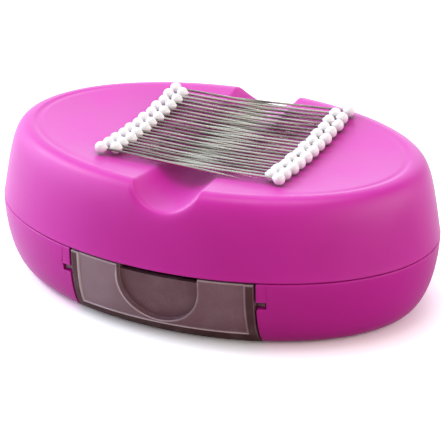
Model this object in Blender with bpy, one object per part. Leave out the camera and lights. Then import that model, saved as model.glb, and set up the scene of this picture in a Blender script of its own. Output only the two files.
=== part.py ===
"""Magnetic pin cushion: an oval two-part case with a finger channel across its top, a tray drawer in its front,
two bar magnets under the top skin and a row of ball-head pins that bridge the channel.

Frame: +X along the case, -Y towards the drawer front, +Z up. The origin is on the table under the middle of the case.
"""

from math import acos, asin, atan2, cos, pi, radians, sin, sqrt

import bmesh
import bpy
from mathutils import Euler, Vector

MM = 0.001

# Case, driving sizes
LENGTH = 108 * MM
WIDTH = 75 * MM
SEAM_Z = 17.8 * MM
CREST_Z = 36.4 * MM
WALL = 2.0 * MM
SEAM_GAP = 0.3 * MM
CLEARANCE = 0.3 * MM
TONGUE_HEIGHT = 1.2 * MM

# Upper shell: how far its shoulder leans in, its dished top and the finger channel across it
SHOULDER_INSET = 7.7 * MM
DISH_DEPTH = 2.0 * MM
CHANNEL_RADIUS = 8.8 * MM
CHANNEL_DEPTH = 4.9 * MM
LIP_BLEND = 1.6 * MM

# Base shell: its lower edge curves in to a flat underside
BASE_INSET = 7.5 * MM
FLOOR = 1.8 * MM

# Drawer
DRAWER_WIDTH = 45.2 * MM
STOP_SETBACK = 14 * MM
STOP_THICKNESS = 1.5 * MM
TRAY_WALL = 1.8 * MM
TRAY_FLOOR = 1.5 * MM
FASCIA = 1.8 * MM
TRAY_BACK_MARGIN = 13 * MM
RECESS_RADIUS = 10 * MM
RECESS_DROP = 3.4 * MM
SLOT_HEIGHT = 2.0 * MM
RAIL_REACH = 2.3 * MM
RAIL_THICKNESS = 0.8 * MM
RAIL_DROP = 5.8 * MM
RAIL_SLOT = 1.9 * MM

# Magnets and screws
MAGNET_WIDTH = 8 * MM
MAGNET_LENGTH = 42 * MM
MAGNET_THICKNESS = 5 * MM
SCREW_SHANK = 2.5 * MM
SCREW_HEAD = 5.0 * MM
SCREW_HEAD_HEIGHT = 1.8 * MM
SCREW_LENGTH = 14 * MM
SCREW_SINK = 8 * MM

# Pins
PIN_COUNT = 46
PIN_LENGTH = 38 * MM
PIN_SHAFT = 0.55 * MM
PIN_HEAD = 2.6 * MM
PIN_SIDE_GAP = 0.3 * MM
PIN_POINT = 3.0 * MM
PIN_TIP_CLEARANCE = 0.8 * MM
PIN_ROW_GAP = 0.1 * MM
PIN_FAN = (radians(-1.0), radians(2.5))
PIN_ROW_BOW = 0.5 * MM
PIN_ROW_DRIFT = 1.1 * MM
PIN_ROW_CENTRE = (0.1 * MM, 1.9 * MM)
PIN_WANDER = 0.2 * MM

# Worked out from the sizes above
HALF_LENGTH = LENGTH / 2
HALF_WIDTH = WIDTH / 2
UPPER_RISE = CREST_Z - SEAM_Z
TOP_HALF_LENGTH = HALF_LENGTH - SHOULDER_INSET
TOP_HALF_WIDTH = HALF_WIDTH - SHOULDER_INSET
CHANNEL_AXIS_Z = CREST_Z - CHANNEL_DEPTH + CHANNEL_RADIUS
CHANNEL_REACH = CHANNEL_RADIUS + 3 * MM
TRAY_HALF = DRAWER_WIDTH / 2
OPENING_HALF = TRAY_HALF + 2 * CLEARANCE
LEDGE_HALF = TRAY_HALF + CLEARANCE
BAY_HALF = TRAY_HALF + RAIL_REACH + 1.6 * CLEARANCE
BAY_WALL = 1.6 * MM
TRAY_TOP = SEAM_Z - 0.35 * MM
TRAY_BOTTOM = FLOOR + CLEARANCE
TRAY_BACK = HALF_WIDTH - TRAY_BACK_MARGIN
BACK_WALL_TOP = SEAM_Z - 0.9 * MM
STOP_BOTTOM = SEAM_Z - 2.4 * MM
STOP_FRONT = -HALF_WIDTH + STOP_SETBACK
STOP_HALF = CHANNEL_RADIUS * 0.6
RAIL_Z = SEAM_Z - RAIL_DROP
MAGNET_X = CHANNEL_RADIUS + 1.7 * MM + MAGNET_WIDTH / 2
MAGNET_TOP = CREST_Z - DISH_DEPTH - WALL - CLEARANCE
SCREW_X = (BAY_HALF + BAY_WALL + HALF_LENGTH - BASE_INSET) / 2 - 2.5 * MM
SCREW_Y = HALF_WIDTH * 0.35
SEAT_Z = SCREW_SINK
PIN_PITCH = (PIN_HEAD / 2 + PIN_SHAFT / 2 + PIN_SIDE_GAP) / 2
PIN_ROW_STEP = PIN_HEAD + PIN_ROW_GAP

OUTLINE_FINE_STEPS = 8
OUTLINE_END_STEPS = 9
PROFILE_STEPS = 7
TOP_ROWS = 12
FAR = 100 * MM


# ---------------------------------------------------------------- curves that the case is drawn from

def bezier(points, t):
    """A point on the cubic curve through four (inset, height) control points."""
    weights = ((1 - t) ** 3, 3 * (1 - t) ** 2 * t, 3 * (1 - t) * t * t, t ** 3)
    return tuple(sum(w * p[i] for w, p in zip(weights, points)) for i in range(2))


def shoulder_curve():
    """(inset, height over the seam) up the outside of the upper shell, from the seam to the crest."""
    return ((0, 0), (0.134 * UPPER_RISE, 0.79 * UPPER_RISE), (0.48 * SHOULDER_INSET, UPPER_RISE),
            (SHOULDER_INSET, UPPER_RISE))


def skirt_curve():
    """(inset, depth under the seam) down the outside of the base shell, from the seam to the flat underside."""
    return ((0, 0), (0.1 * MM, 0.38 * SEAM_Z), (0.3 * BASE_INSET, SEAM_Z), (BASE_INSET, SEAM_Z))


def skirt_inset(z):
    """How far the base's outside has leant in at height z."""
    depth = min(max(SEAM_Z - z, 0), SEAM_Z)
    low, high = 0.0, 1.0
    for _ in range(30):
        middle = (low + high) / 2
        if bezier(skirt_curve(), middle)[1] < depth:
            low = middle
        else:
            high = middle
    return bezier(skirt_curve(), low)[0]


def front_y(x, z, inset=0.0):
    """The base's front surface at (x, z), moved in by inset."""
    total = skirt_inset(z) + inset
    return -ellipse_y(x, HALF_LENGTH - total, HALF_WIDTH - total)


def ellipse_y(x, a, b):
    return b * sqrt(max(0.0, 1 - (x / a) ** 2))


def smooth_min(a, b, blend):
    """The smaller of two heights, with the corner between them rounded."""
    overlap = max(blend - abs(a - b), 0.0) / blend
    return min(a, b) - overlap * overlap * blend / 4


def channel_z(x, offset=0.0):
    """Height of the finger channel's surface at x, moved down by offset."""
    radius = CHANNEL_RADIUS + offset
    if abs(x) < radius:
        return CHANNEL_AXIS_Z - sqrt(radius * radius - x * x)
    return CHANNEL_AXIS_Z + 4 * (abs(x) - radius)


def top_z(x, y):
    """Height of the dished top, away from the channel."""
    share = min((x / TOP_HALF_LENGTH) ** 2 + (y / TOP_HALF_WIDTH) ** 2, 1.0)
    return CREST_Z - DISH_DEPTH * (1 - share)


def outline_stations():
    """Columns along X for a quarter of the outline: even across the channel, then even in angle to the end."""
    fine = [CHANNEL_REACH * i / OUTLINE_FINE_STEPS for i in range(OUTLINE_FINE_STEPS)]
    start = acos(CHANNEL_REACH / HALF_LENGTH)
    return fine + [HALF_LENGTH * cos(start * (1 - i / OUTLINE_END_STEPS)) for i in range(OUTLINE_END_STEPS + 1)]


def station_x(station, a):
    """Where a column stands on an outline of half-length a: fixed across the channel, drawn in beyond it."""
    if station <= CHANNEL_REACH:
        return station
    return CHANNEL_REACH + (station - CHANNEL_REACH) * (a - CHANNEL_REACH) / (HALF_LENGTH - CHANNEL_REACH)


def outline(inset):
    """The oval at this inset, anticlockwise from +X, as (x, y)."""
    a, b = HALF_LENGTH - inset, HALF_WIDTH - inset
    quarter = [station_x(s, a) for s in reversed(outline_stations())]
    back = quarter + [-x for x in reversed(quarter[:-1])]
    points = [(x, ellipse_y(x, a, b)) for x in back]
    return points + [(x, -y) for x, y in reversed(points[1:-1])]


def offset_profile(curve, offset):
    """Points of an (inset, rise) curve, moved towards the inside of the case by offset along its normal."""
    points = []
    for i in range(PROFILE_STEPS + 1):
        t = i / PROFILE_STEPS
        here = bezier(curve, t)
        ahead = bezier(curve, min(t + 0.01, 1.0))
        behind = bezier(curve, max(t - 0.01, 0.0))
        along = Vector((ahead[0] - behind[0], ahead[1] - behind[1])).normalized()
        points.append((here[0] + offset * along.y, here[1] - offset * along.x))
    return points


# ---------------------------------------------------------------- mesh helpers

def clear_scene():
    for found in list(bpy.data.objects):
        bpy.data.objects.remove(found, do_unlink=True)


def material(name, colour, roughness, metallic=0.0, transmission=0.0):
    made = bpy.data.materials.new(name)
    made.use_nodes = True
    shader = made.node_tree.nodes["Principled BSDF"]
    shader.inputs["Base Color"].default_value = (*colour, 1.0)
    shader.inputs["Roughness"].default_value = roughness
    shader.inputs["Metallic"].default_value = metallic
    shader.inputs["Transmission Weight"].default_value = transmission
    made.diffuse_color = (*colour, 1.0)
    return made


def object_from(name, bm, finish=None, smooth=True):
    """Turns a bmesh into an object in the scene, its faces turned outward."""
    bmesh.ops.recalc_face_normals(bm, faces=bm.faces[:])
    mesh = bpy.data.meshes.new(name)
    bm.to_mesh(mesh)
    bm.free()
    if smooth:
        mesh.shade_smooth()
        mesh.set_sharp_from_angle(angle=radians(32))
    if finish is not None:
        mesh.materials.append(finish)
    made = bpy.data.objects.new(name, mesh)
    bpy.context.scene.collection.objects.link(made)
    return made


def bridge(bm, one, other, closed=True):
    """Quads between two rows of vertices of equal length."""
    count = len(one)
    for i in range(count if closed else count - 1):
        j = (i + 1) % count
        bm.faces.new((one[i], one[j], other[j], other[i]))


def ring(bm, inset, z):
    return [bm.verts.new((x, y, z)) for x, y in outline(inset)]


def dome_top(bm, crest, a, b, drop):
    """Fills the crest outline with columns along Y, so that the channel's lips follow columns."""
    half = len(crest) // 2
    back, front = crest[:half + 1], [crest[0]] + crest[:half - 1:-1]
    columns = []
    for rear, near in zip(back, front):
        x, y = rear.co.x, rear.co.y
        column = [near]
        if rear is not near:
            for i in range(1, TOP_ROWS):
                row_y = y * (2 * i / TOP_ROWS - 1)
                share = (x / a) ** 2 + (row_y / b) ** 2
                z = CREST_Z - drop - DISH_DEPTH * (1 - share)
                column.append(bm.verts.new((x, row_y, smooth_min(z, channel_z(x, drop), LIP_BLEND))))
            column.append(rear)
        columns.append(column)
    for left, right in zip(columns, columns[1:]):
        if len(left) == len(right):
            bridge(bm, left, right, closed=False)
            continue
        point, line = (left[0], right) if len(left) == 1 else (right[0], left)
        for i in range(len(line) - 1):
            bm.faces.new((point, line[i], line[i + 1]))


def dome(bm, offset, foot):
    """The upper shell's surface moved in by offset, standing on the rings of foot (inset, z). Returns its lowest ring."""
    rings = [ring(bm, inset, z) for inset, z in foot]
    for inset, rise in offset_profile(shoulder_curve(), offset)[1:]:
        made = ring(bm, inset, SEAM_Z + rise)
        for vertex in made:
            vertex.co.z = smooth_min(vertex.co.z, channel_z(vertex.co.x, offset), LIP_BLEND)
        rings.append(made)
    for one, other in zip(rings, rings[1:]):
        bridge(bm, one, other)
    dome_top(bm, rings[-1], TOP_HALF_LENGTH, TOP_HALF_WIDTH, offset)
    return rings[0]


def box(name, low, high):
    """A closed box between two corners."""
    bm = bmesh.new()
    bmesh.ops.create_cube(bm, size=1.0)
    for vertex in bm.verts:
        vertex.co = Vector([low[i] + (vertex.co[i] + 0.5) * (high[i] - low[i]) for i in range(3)])
    return object_from(name, bm, smooth=False)


def post(name, x, y, low, high, radius, sides=20):
    """A closed upright cylinder."""
    bm = bmesh.new()
    bmesh.ops.create_cone(bm, cap_ends=True, segments=sides, radius1=radius, radius2=radius, depth=high - low)
    bmesh.ops.translate(bm, verts=bm.verts[:], vec=(x, y, (low + high) / 2))
    return object_from(name, bm)


def prism(name, outline_xz):
    """A closed outline in the XZ plane, carried right through along Y."""
    bm = bmesh.new()
    near = [bm.verts.new((x, -FAR, z)) for x, z in outline_xz]
    away = [bm.verts.new((x, FAR, z)) for x, z in outline_xz]
    bridge(bm, near, away)
    bm.faces.new(near)
    bm.faces.new(away)
    return object_from(name, bm, smooth=False)


def curved_block(name, half, levels, near, far, columns=14):
    """A block between x = -half and half whose front and back are surfaces y = near(x, z) and y = far(x, z)."""
    bm = bmesh.new()
    stations = [half * (2 * i / columns - 1) for i in range(columns + 1)]
    loops = []
    for z in levels:
        loop = [bm.verts.new((x, near(x, z), z)) for x in stations]
        loop += [bm.verts.new((x, far(x, z), z)) for x in reversed(stations)]
        loops.append(loop)
    for one, other in zip(loops, loops[1:]):
        bridge(bm, one, other)
    for loop in (loops[0], loops[-1]):
        for i in range(columns):
            bm.faces.new((loop[i], loop[i + 1], loop[-2 - i], loop[-1 - i]))
    return object_from(name, bm)


def boolean(target, other, operation):
    """Adds, removes or intersects another closed shape, which is then only a hidden helper."""
    other.hide_render = True
    other.display_type = "WIRE"
    step = target.modifiers.new(other.name, "BOOLEAN")
    step.operation = operation
    step.object = other
    step.solver = "EXACT"


def join(target, *others):
    for other in others:
        boolean(target, other, "UNION")


def cut(target, *others):
    for other in others:
        boolean(target, other, "DIFFERENCE")


def keep_within(target, other):
    boolean(target, other, "INTERSECT")


def levels_between(low, high, count):
    return [low + (high - low) * i / count for i in range(count + 1)]


# ---------------------------------------------------------------- upper shell

def screw_places():
    return [(sx * SCREW_X, sy * SCREW_Y) for sx in (-1, 1) for sy in (-1, 1)]


def upper_features():
    """Magnet pockets, the drawer stop and the screw posts, joined and trimmed to end inside the top skin."""
    features = box("drawer_stop", (-STOP_HALF, STOP_FRONT, STOP_BOTTOM),
                   (STOP_HALF, STOP_FRONT + STOP_THICKNESS, CREST_Z))
    rib = 1.2 * MM
    reach = MAGNET_WIDTH / 2 + CLEARANCE
    low = MAGNET_TOP - MAGNET_THICKNESS
    for side, sign in (("left", -1), ("right", 1)):
        middle = sign * MAGNET_X
        wall = box(f"pocket_{side}", (middle - reach - rib, -MAGNET_LENGTH / 2 - CLEARANCE - rib, low),
                   (middle + reach + rib, MAGNET_LENGTH / 2 + CLEARANCE + rib, CREST_Z))
        room = box(f"pocket_room_{side}", (middle - reach, -MAGNET_LENGTH / 2 - CLEARANCE, low - FAR),
                   (middle + reach, MAGNET_LENGTH / 2 + CLEARANCE, CREST_Z + FAR))
        cut(wall, room)
        join(features, wall)
    pilot_top = SEAT_Z + SCREW_LENGTH + 1 * MM
    for number, (x, y) in enumerate(screw_places(), 1):
        boss = post(f"upper_boss_{number}", x, y, SEAM_Z + SEAM_GAP, CREST_Z, SCREW_SHANK / 2 + 1.9 * MM)
        cut(boss, post(f"upper_pilot_{number}", x, y, 0, pilot_top, SCREW_SHANK / 2 + CLEARANCE, sides=16))
        join(features, boss)
    return features


def upper_shell(finish):
    rim_z = SEAM_Z + SEAM_GAP / 2
    bm = bmesh.new()
    outside = dome(bm, 0.0, [(0.0, rim_z)])
    rebate = 1.1 * MM
    rebate_top = rim_z + TONGUE_HEIGHT + CLEARANCE
    inside = dome(bm, WALL, [(rebate, rim_z), (rebate, rebate_top), (WALL, rebate_top)])
    bridge(bm, outside, inside)
    shell = object_from("upper_shell", bm, finish)
    trim_mesh = bmesh.new()
    foot = dome(trim_mesh, WALL / 2, [(WALL / 2, rim_z - 5 * MM)])
    trim_mesh.faces.new(foot)
    features = upper_features()
    keep_within(features, object_from("upper_trim", trim_mesh))
    join(shell, features)
    return shell


# ---------------------------------------------------------------- base shell

def base_solid(name, offset):
    """The base's outer form moved in by offset, closed top and bottom."""
    bm = bmesh.new()
    rings = [ring(bm, inset, SEAM_Z - drop) for inset, drop in offset_profile(skirt_curve(), offset)]
    for one, other in zip(rings, rings[1:]):
        bridge(bm, one, other)
    bm.faces.new(rings[0])
    bm.faces.new(rings[-1])
    return object_from(name, bm)


def base_features():
    """Drawer bay walls, rail ledges, the bay's rear wall and the screw posts, joined and trimmed to the shell."""
    rear = TRAY_BACK + CLEARANCE
    bay_top = SEAM_Z - 0.6 * MM
    features = box("bay_rear", (-BAY_HALF - BAY_WALL, rear, FLOOR / 2), (BAY_HALF + BAY_WALL, rear + BAY_WALL, bay_top))
    for side, sign in (("left", -1), ("right", 1)):
        spans = (("bay_wall", BAY_HALF, BAY_HALF + BAY_WALL, FLOOR / 2, bay_top),
                 ("ledge_over", LEDGE_HALF, BAY_HALF + 0.4 * MM, RAIL_Z + RAIL_SLOT / 2, RAIL_Z + RAIL_SLOT / 2 + 1.4 * MM),
                 ("ledge_under", LEDGE_HALF, BAY_HALF + 0.4 * MM, RAIL_Z - RAIL_SLOT / 2 - 1.4 * MM, RAIL_Z - RAIL_SLOT / 2))
        for part, near, away, low, high in spans:
            ends = sorted((sign * near, sign * away))
            join(features, box(f"{part}_{side}", (ends[0], -HALF_WIDTH, low), (ends[1], rear + 0.5 * MM, high)))
    for number, (x, y) in enumerate(screw_places(), 1):
        join(features, post(f"base_boss_{number}", x, y, FLOOR / 2, SEAM_Z, SCREW_HEAD / 2 + 1.5 * MM))
    return features


def base_shell(finish):
    bm = bmesh.new()
    rim_z = SEAM_Z - SEAM_GAP / 2
    outer = [ring(bm, 0.0, rim_z)]
    outer += [ring(bm, inset, SEAM_Z - drop) for inset, drop in offset_profile(skirt_curve(), 0.0)[1:]]
    inner = [ring(bm, 1.1 * MM + CLEARANCE, rim_z), ring(bm, 1.1 * MM + CLEARANCE, rim_z + TONGUE_HEIGHT),
             ring(bm, WALL, rim_z + TONGUE_HEIGHT)]
    for inset, drop in offset_profile(skirt_curve(), WALL)[1:]:
        if SEAM_Z - drop > FLOOR + 0.3 * MM:
            inner.append(ring(bm, inset, SEAM_Z - drop))
    inner.append(ring(bm, skirt_inset(FLOOR) + WALL + 0.6 * MM, FLOOR))
    for rings in (outer, inner):
        for one, other in zip(rings, rings[1:]):
            bridge(bm, one, other)
        bm.faces.new(rings[-1])
    bridge(bm, outer[0], inner[0])
    shell = object_from("base_shell", bm, finish)
    features = base_features()
    keep_within(features, base_solid("base_trim", WALL / 2))
    join(shell, features)
    cut(shell, box("drawer_opening", (-OPENING_HALF, -FAR, FLOOR), (OPENING_HALF, -HALF_WIDTH * 0.6, SEAM_Z + FAR)))
    cut(shell, curved_block("lip_opening", OPENING_HALF, levels_between(-1 * MM, FLOOR + 0.1 * MM, 3),
                            lambda x, z: -FAR, lambda x, z: front_y(x, z, FASCIA + 3 * CLEARANCE)))
    for side, sign in (("left", -1), ("right", 1)):
        ends = sorted((sign * (OPENING_HALF - 1 * MM), sign * BAY_HALF))
        cut(shell, box(f"rail_notch_{side}", (ends[0], -FAR, RAIL_Z - RAIL_SLOT / 2),
                       (ends[1], -HALF_WIDTH * 0.6, RAIL_Z + RAIL_SLOT / 2)))
    for number, (x, y) in enumerate(screw_places(), 1):
        cut(shell, post(f"screw_hole_{number}", x, y, -FAR, FAR, SCREW_SHANK / 2 + CLEARANCE, sides=16))
        cut(shell, post(f"screw_well_{number}", x, y, -FAR, SEAT_Z, SCREW_HEAD / 2 + CLEARANCE))
    return shell


# ---------------------------------------------------------------- drawer

def half_moon():
    """The finger recess: a round-bottomed notch in the fascia, open at the top."""
    levels = levels_between(SEAM_Z - RECESS_RADIUS - RECESS_DROP - 1 * MM, SEAM_Z + 1 * MM, 8)
    recess = curved_block("recess_depth", RECESS_RADIUS + 1 * MM, levels, lambda x, z: -FAR,
                          lambda x, z: front_y(x, z, FASCIA))
    arc = [(RECESS_RADIUS * cos(pi * i / 24), SEAM_Z - RECESS_DROP - RECESS_RADIUS * sin(pi * i / 24))
           for i in range(25)]
    shape = prism("recess_outline", arc + [(-RECESS_RADIUS, SEAM_Z + FAR), (RECESS_RADIUS, SEAM_Z + FAR)])
    keep_within(recess, shape)
    return recess


def drawer(finish):
    wall_depth = FASCIA + 1.6 * MM
    tray = curved_block("drawer", TRAY_HALF, levels_between(CLEARANCE, TRAY_TOP, 10),
                        lambda x, z: front_y(x, z), lambda x, z: TRAY_BACK)
    tray.data.materials.append(finish)
    cut(tray, curved_block("under_tray", TRAY_HALF + 1 * MM, levels_between(-1 * MM, TRAY_BOTTOM, 3),
                           lambda x, z: front_y(x, z, FASCIA + 1.2 * CLEARANCE), lambda x, z: FAR))
    cut(tray, curved_block("tray_room", TRAY_HALF - TRAY_WALL,
                           levels_between(TRAY_BOTTOM + TRAY_FLOOR, SEAM_Z + 1 * MM, 7),
                           lambda x, z: front_y(x, z, wall_depth), lambda x, z: TRAY_BACK - TRAY_WALL))
    cut(tray, half_moon())
    slot_half = RECESS_RADIUS - 0.2 * MM
    cut(tray, box("finger_slot", (-slot_half, -FAR, SEAM_Z - SLOT_HEIGHT), (slot_half, -HALF_WIDTH * 0.6, SEAM_Z + FAR)))
    cut(tray, box("back_wall_cut", (-FAR, 0, BACK_WALL_TOP), (FAR, FAR, SEAM_Z + FAR)))
    for side, sign in (("left", -1), ("right", 1)):
        ends = sorted((sign * (TRAY_HALF - 0.5 * MM), sign * (TRAY_HALF + RAIL_REACH)))
        front = front_y(TRAY_HALF + RAIL_REACH, RAIL_Z, 0.6 * MM)
        join(tray, box(f"drawer_rail_{side}", (ends[0], front, RAIL_Z - RAIL_THICKNESS / 2),
                       (ends[1], TRAY_BACK - 2 * MM, RAIL_Z + RAIL_THICKNESS / 2)))
    return tray


# ---------------------------------------------------------------- magnets, screws

def magnet(name, x, finish):
    made = box(name, (-MAGNET_WIDTH / 2, -MAGNET_LENGTH / 2, -MAGNET_THICKNESS / 2),
               (MAGNET_WIDTH / 2, MAGNET_LENGTH / 2, MAGNET_THICKNESS / 2))
    made.location = (x, 0, MAGNET_TOP - MAGNET_THICKNESS / 2)
    made.data.materials.append(finish)
    return made


def turned(name, profile, sides, finish=None):
    """A closed solid turned about X from (x, radius) points; a radius of 0 is a point on the axis."""
    bm = bmesh.new()
    loops = []
    for x, radius in profile:
        if radius == 0:
            loops.append([bm.verts.new((x, 0, 0))])
        else:
            loops.append([bm.verts.new((x, radius * cos(2 * pi * i / sides), radius * sin(2 * pi * i / sides)))
                          for i in range(sides)])
    for one, other in zip(loops, loops[1:]):
        if len(one) == len(other):
            bridge(bm, one, other)
            continue
        point, loop = (one[0], other) if len(one) == 1 else (other[0], one)
        for i in range(sides):
            bm.faces.new((point, loop[i], loop[(i + 1) % sides]))
    return object_from(name, bm, finish)


def screw(name, x, y, finish):
    """A pan-head screw, head down in its well, with a cross recess."""
    head, shank = SCREW_HEAD / 2, SCREW_SHANK / 2
    seat = CLEARANCE
    profile = ((-SCREW_HEAD_HEIGHT, 0), (-SCREW_HEAD_HEIGHT, 0.8 * head), (-0.6 * SCREW_HEAD_HEIGHT, head), (0, head),
               (0, shank), (SCREW_LENGTH - 2 * shank, shank), (SCREW_LENGTH, 0))
    made = turned(name, profile, 16, finish)
    recess = box(f"{name}_slot_a", (-FAR, -0.4 * MM, -1.5 * MM), (-SCREW_HEAD_HEIGHT + 1 * MM, 0.4 * MM, 1.5 * MM))
    cross = box(f"{name}_slot_b", (-FAR, -1.5 * MM, -0.4 * MM), (-SCREW_HEAD_HEIGHT + 1 * MM, 1.5 * MM, 0.4 * MM))
    for helper in (recess, cross):
        helper.parent = made
    cut(made, recess, cross)
    made.location = (x, y, SEAT_Z - seat)
    made.rotation_euler = (0, -pi / 2, 0)
    return made


# ---------------------------------------------------------------- pins

def pin_profile():
    """(x, radius) of a pin from the far side of its ball head to its point, with the head's centre at x = 0."""
    head, shaft = PIN_HEAD / 2, PIN_SHAFT / 2
    meet = asin(shaft / head)
    steps = 6
    ball = [(-head, 0)]
    ball += [(-head * cos(a), head * sin(a)) for a in ((pi - meet) * i / steps for i in range(1, steps + 1))]
    tip = PIN_LENGTH - head
    return ball + [(tip - PIN_POINT, shaft), (tip - 0.3 * PIN_POINT, 0.5 * shaft), (tip, 0)]


def pin_place(index):
    """Head centre and heading of one pin. Pins point left and right in turn, with their heads in two staggered rows."""
    along = index / (PIN_COUNT - 1)
    side = -1 if index % 2 == 0 else 1
    outer = (index // 2) % 2 == 0
    fan = PIN_FAN[0] + (PIN_FAN[1] - PIN_FAN[0]) * along
    reach = (PIN_LENGTH + PIN_TIP_CLEARANCE) / 2 + (PIN_ROW_STEP if outer else 0)
    reach += PIN_WANDER * sin(2.4 * index)
    middle_x = PIN_ROW_CENTRE[0] + PIN_ROW_DRIFT * along + 4 * PIN_ROW_BOW * along * (1 - along)
    middle_y = PIN_ROW_CENTRE[1] + PIN_PITCH * (index - (PIN_COUNT - 1) / 2)
    head = Vector((middle_x + side * reach * cos(fan), middle_y + side * reach * sin(fan)))
    point = head - side * (PIN_LENGTH - PIN_HEAD / 2) * Vector((cos(fan), sin(fan)))
    head_z = top_z(head.x, head.y) + PIN_HEAD / 2 + CLEARANCE
    point_z = top_z(point.x, point.y) + PIN_SHAFT / 2 + CLEARANCE
    turn = fan + (0 if side < 0 else pi)
    dip = atan2(head_z - point_z, (point - head).length)
    return Vector((head.x, head.y, head_z)), Euler((0, dip, turn))


def pins(finish):
    """The whole row, each pin its own object on one shared mesh, with its origin in its head."""
    first = turned("pin_01", pin_profile(), 8, finish)
    for index in range(PIN_COUNT):
        made = first if index == 0 else bpy.data.objects.new(f"pin_{index + 1:02d}", first.data)
        if index:
            bpy.context.scene.collection.objects.link(made)
        made.location, made.rotation_euler = pin_place(index)


def main():
    clear_scene()
    case = material("pink_plastic", (0.62, 0.035, 0.38), 0.42)
    upper_shell(case)
    base_shell(case)
    drawer(material("smoky_plastic", (0.12, 0.075, 0.085), 0.2, transmission=0.5))
    ferrite = material("ferrite", (0.05, 0.05, 0.055), 0.6, metallic=0.3)
    magnet("magnet_left", -MAGNET_X, ferrite)
    magnet("magnet_right", MAGNET_X, ferrite)
    steel = material("screw_steel", (0.5, 0.5, 0.52), 0.35, metallic=1.0)
    for number, (x, y) in enumerate(screw_places(), 1):
        screw(f"case_screw_{number}", x, y, steel)
    pins(material("nickel_and_white_bead", (0.8, 0.8, 0.8), 0.3, metallic=0.5))


main()
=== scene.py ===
"""Magnetic pin cushion, finished for looks: a satin pink oval case in two shells, a smoky tray
drawer and a row of
nickel pins with white beads that bridge the finger channel.

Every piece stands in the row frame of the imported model: +X along the case, -Y towards the drawer
front, +Z up.
"""

from __future__ import annotations

import logging
import math
from dataclasses import dataclass
from enum import Enum
from typing import Callable, Optional, Sequence, Union

import bmesh
import bpy
import numpy as np
from mathutils import Matrix, Vector

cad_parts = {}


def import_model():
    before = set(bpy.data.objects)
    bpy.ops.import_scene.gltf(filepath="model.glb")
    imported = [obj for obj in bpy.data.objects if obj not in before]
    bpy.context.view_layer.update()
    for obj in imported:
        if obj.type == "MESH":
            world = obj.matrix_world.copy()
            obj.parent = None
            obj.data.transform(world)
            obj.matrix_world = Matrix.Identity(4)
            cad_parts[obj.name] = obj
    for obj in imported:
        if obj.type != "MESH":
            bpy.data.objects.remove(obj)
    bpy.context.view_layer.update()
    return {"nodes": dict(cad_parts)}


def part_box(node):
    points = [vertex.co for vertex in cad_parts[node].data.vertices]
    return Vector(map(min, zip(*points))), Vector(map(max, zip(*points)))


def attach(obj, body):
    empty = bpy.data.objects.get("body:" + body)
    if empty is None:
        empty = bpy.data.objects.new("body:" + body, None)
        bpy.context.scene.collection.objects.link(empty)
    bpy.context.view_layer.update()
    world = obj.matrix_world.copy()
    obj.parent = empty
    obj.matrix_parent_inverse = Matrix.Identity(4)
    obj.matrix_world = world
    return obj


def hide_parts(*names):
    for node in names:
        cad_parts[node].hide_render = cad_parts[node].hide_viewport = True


LOG = logging.getLogger("pin_cushion")
MM = 0.001
FAR = 100 * MM

Socket = bpy.types.NodeSocket
Value = Union[float, int, Sequence[float], Socket]
Rows = list[tuple[float, float]]
Surface = Callable[[float, float], float]
Gone = Callable[[np.ndarray], bool]
Colour = tuple[float, float, float]
Loop = Sequence[bmesh.types.BMVert]

FLOAT = "NodeSocketFloat"
VECTOR = "NodeSocketVector"
WHOLE = "NodeSocketInt"
SHAPE = "NodeSocketGeometry"
MATERIAL = "NodeSocketMaterial"
SHADER_TREE = "ShaderNodeTree"
SHAPE_TREE = "GeometryNodeTree"
WELD = 0.002 * MM


class Cut(Enum):
    """What one closed shape does to another."""

    ADD = "UNION"
    REMOVE = "DIFFERENCE"
    KEEP = "INTERSECT"


class Side(Enum):
    """The two ends of the case."""

    LEFT = -1
    RIGHT = 1


# ---------------------------------------------------------------- node trees


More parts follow.
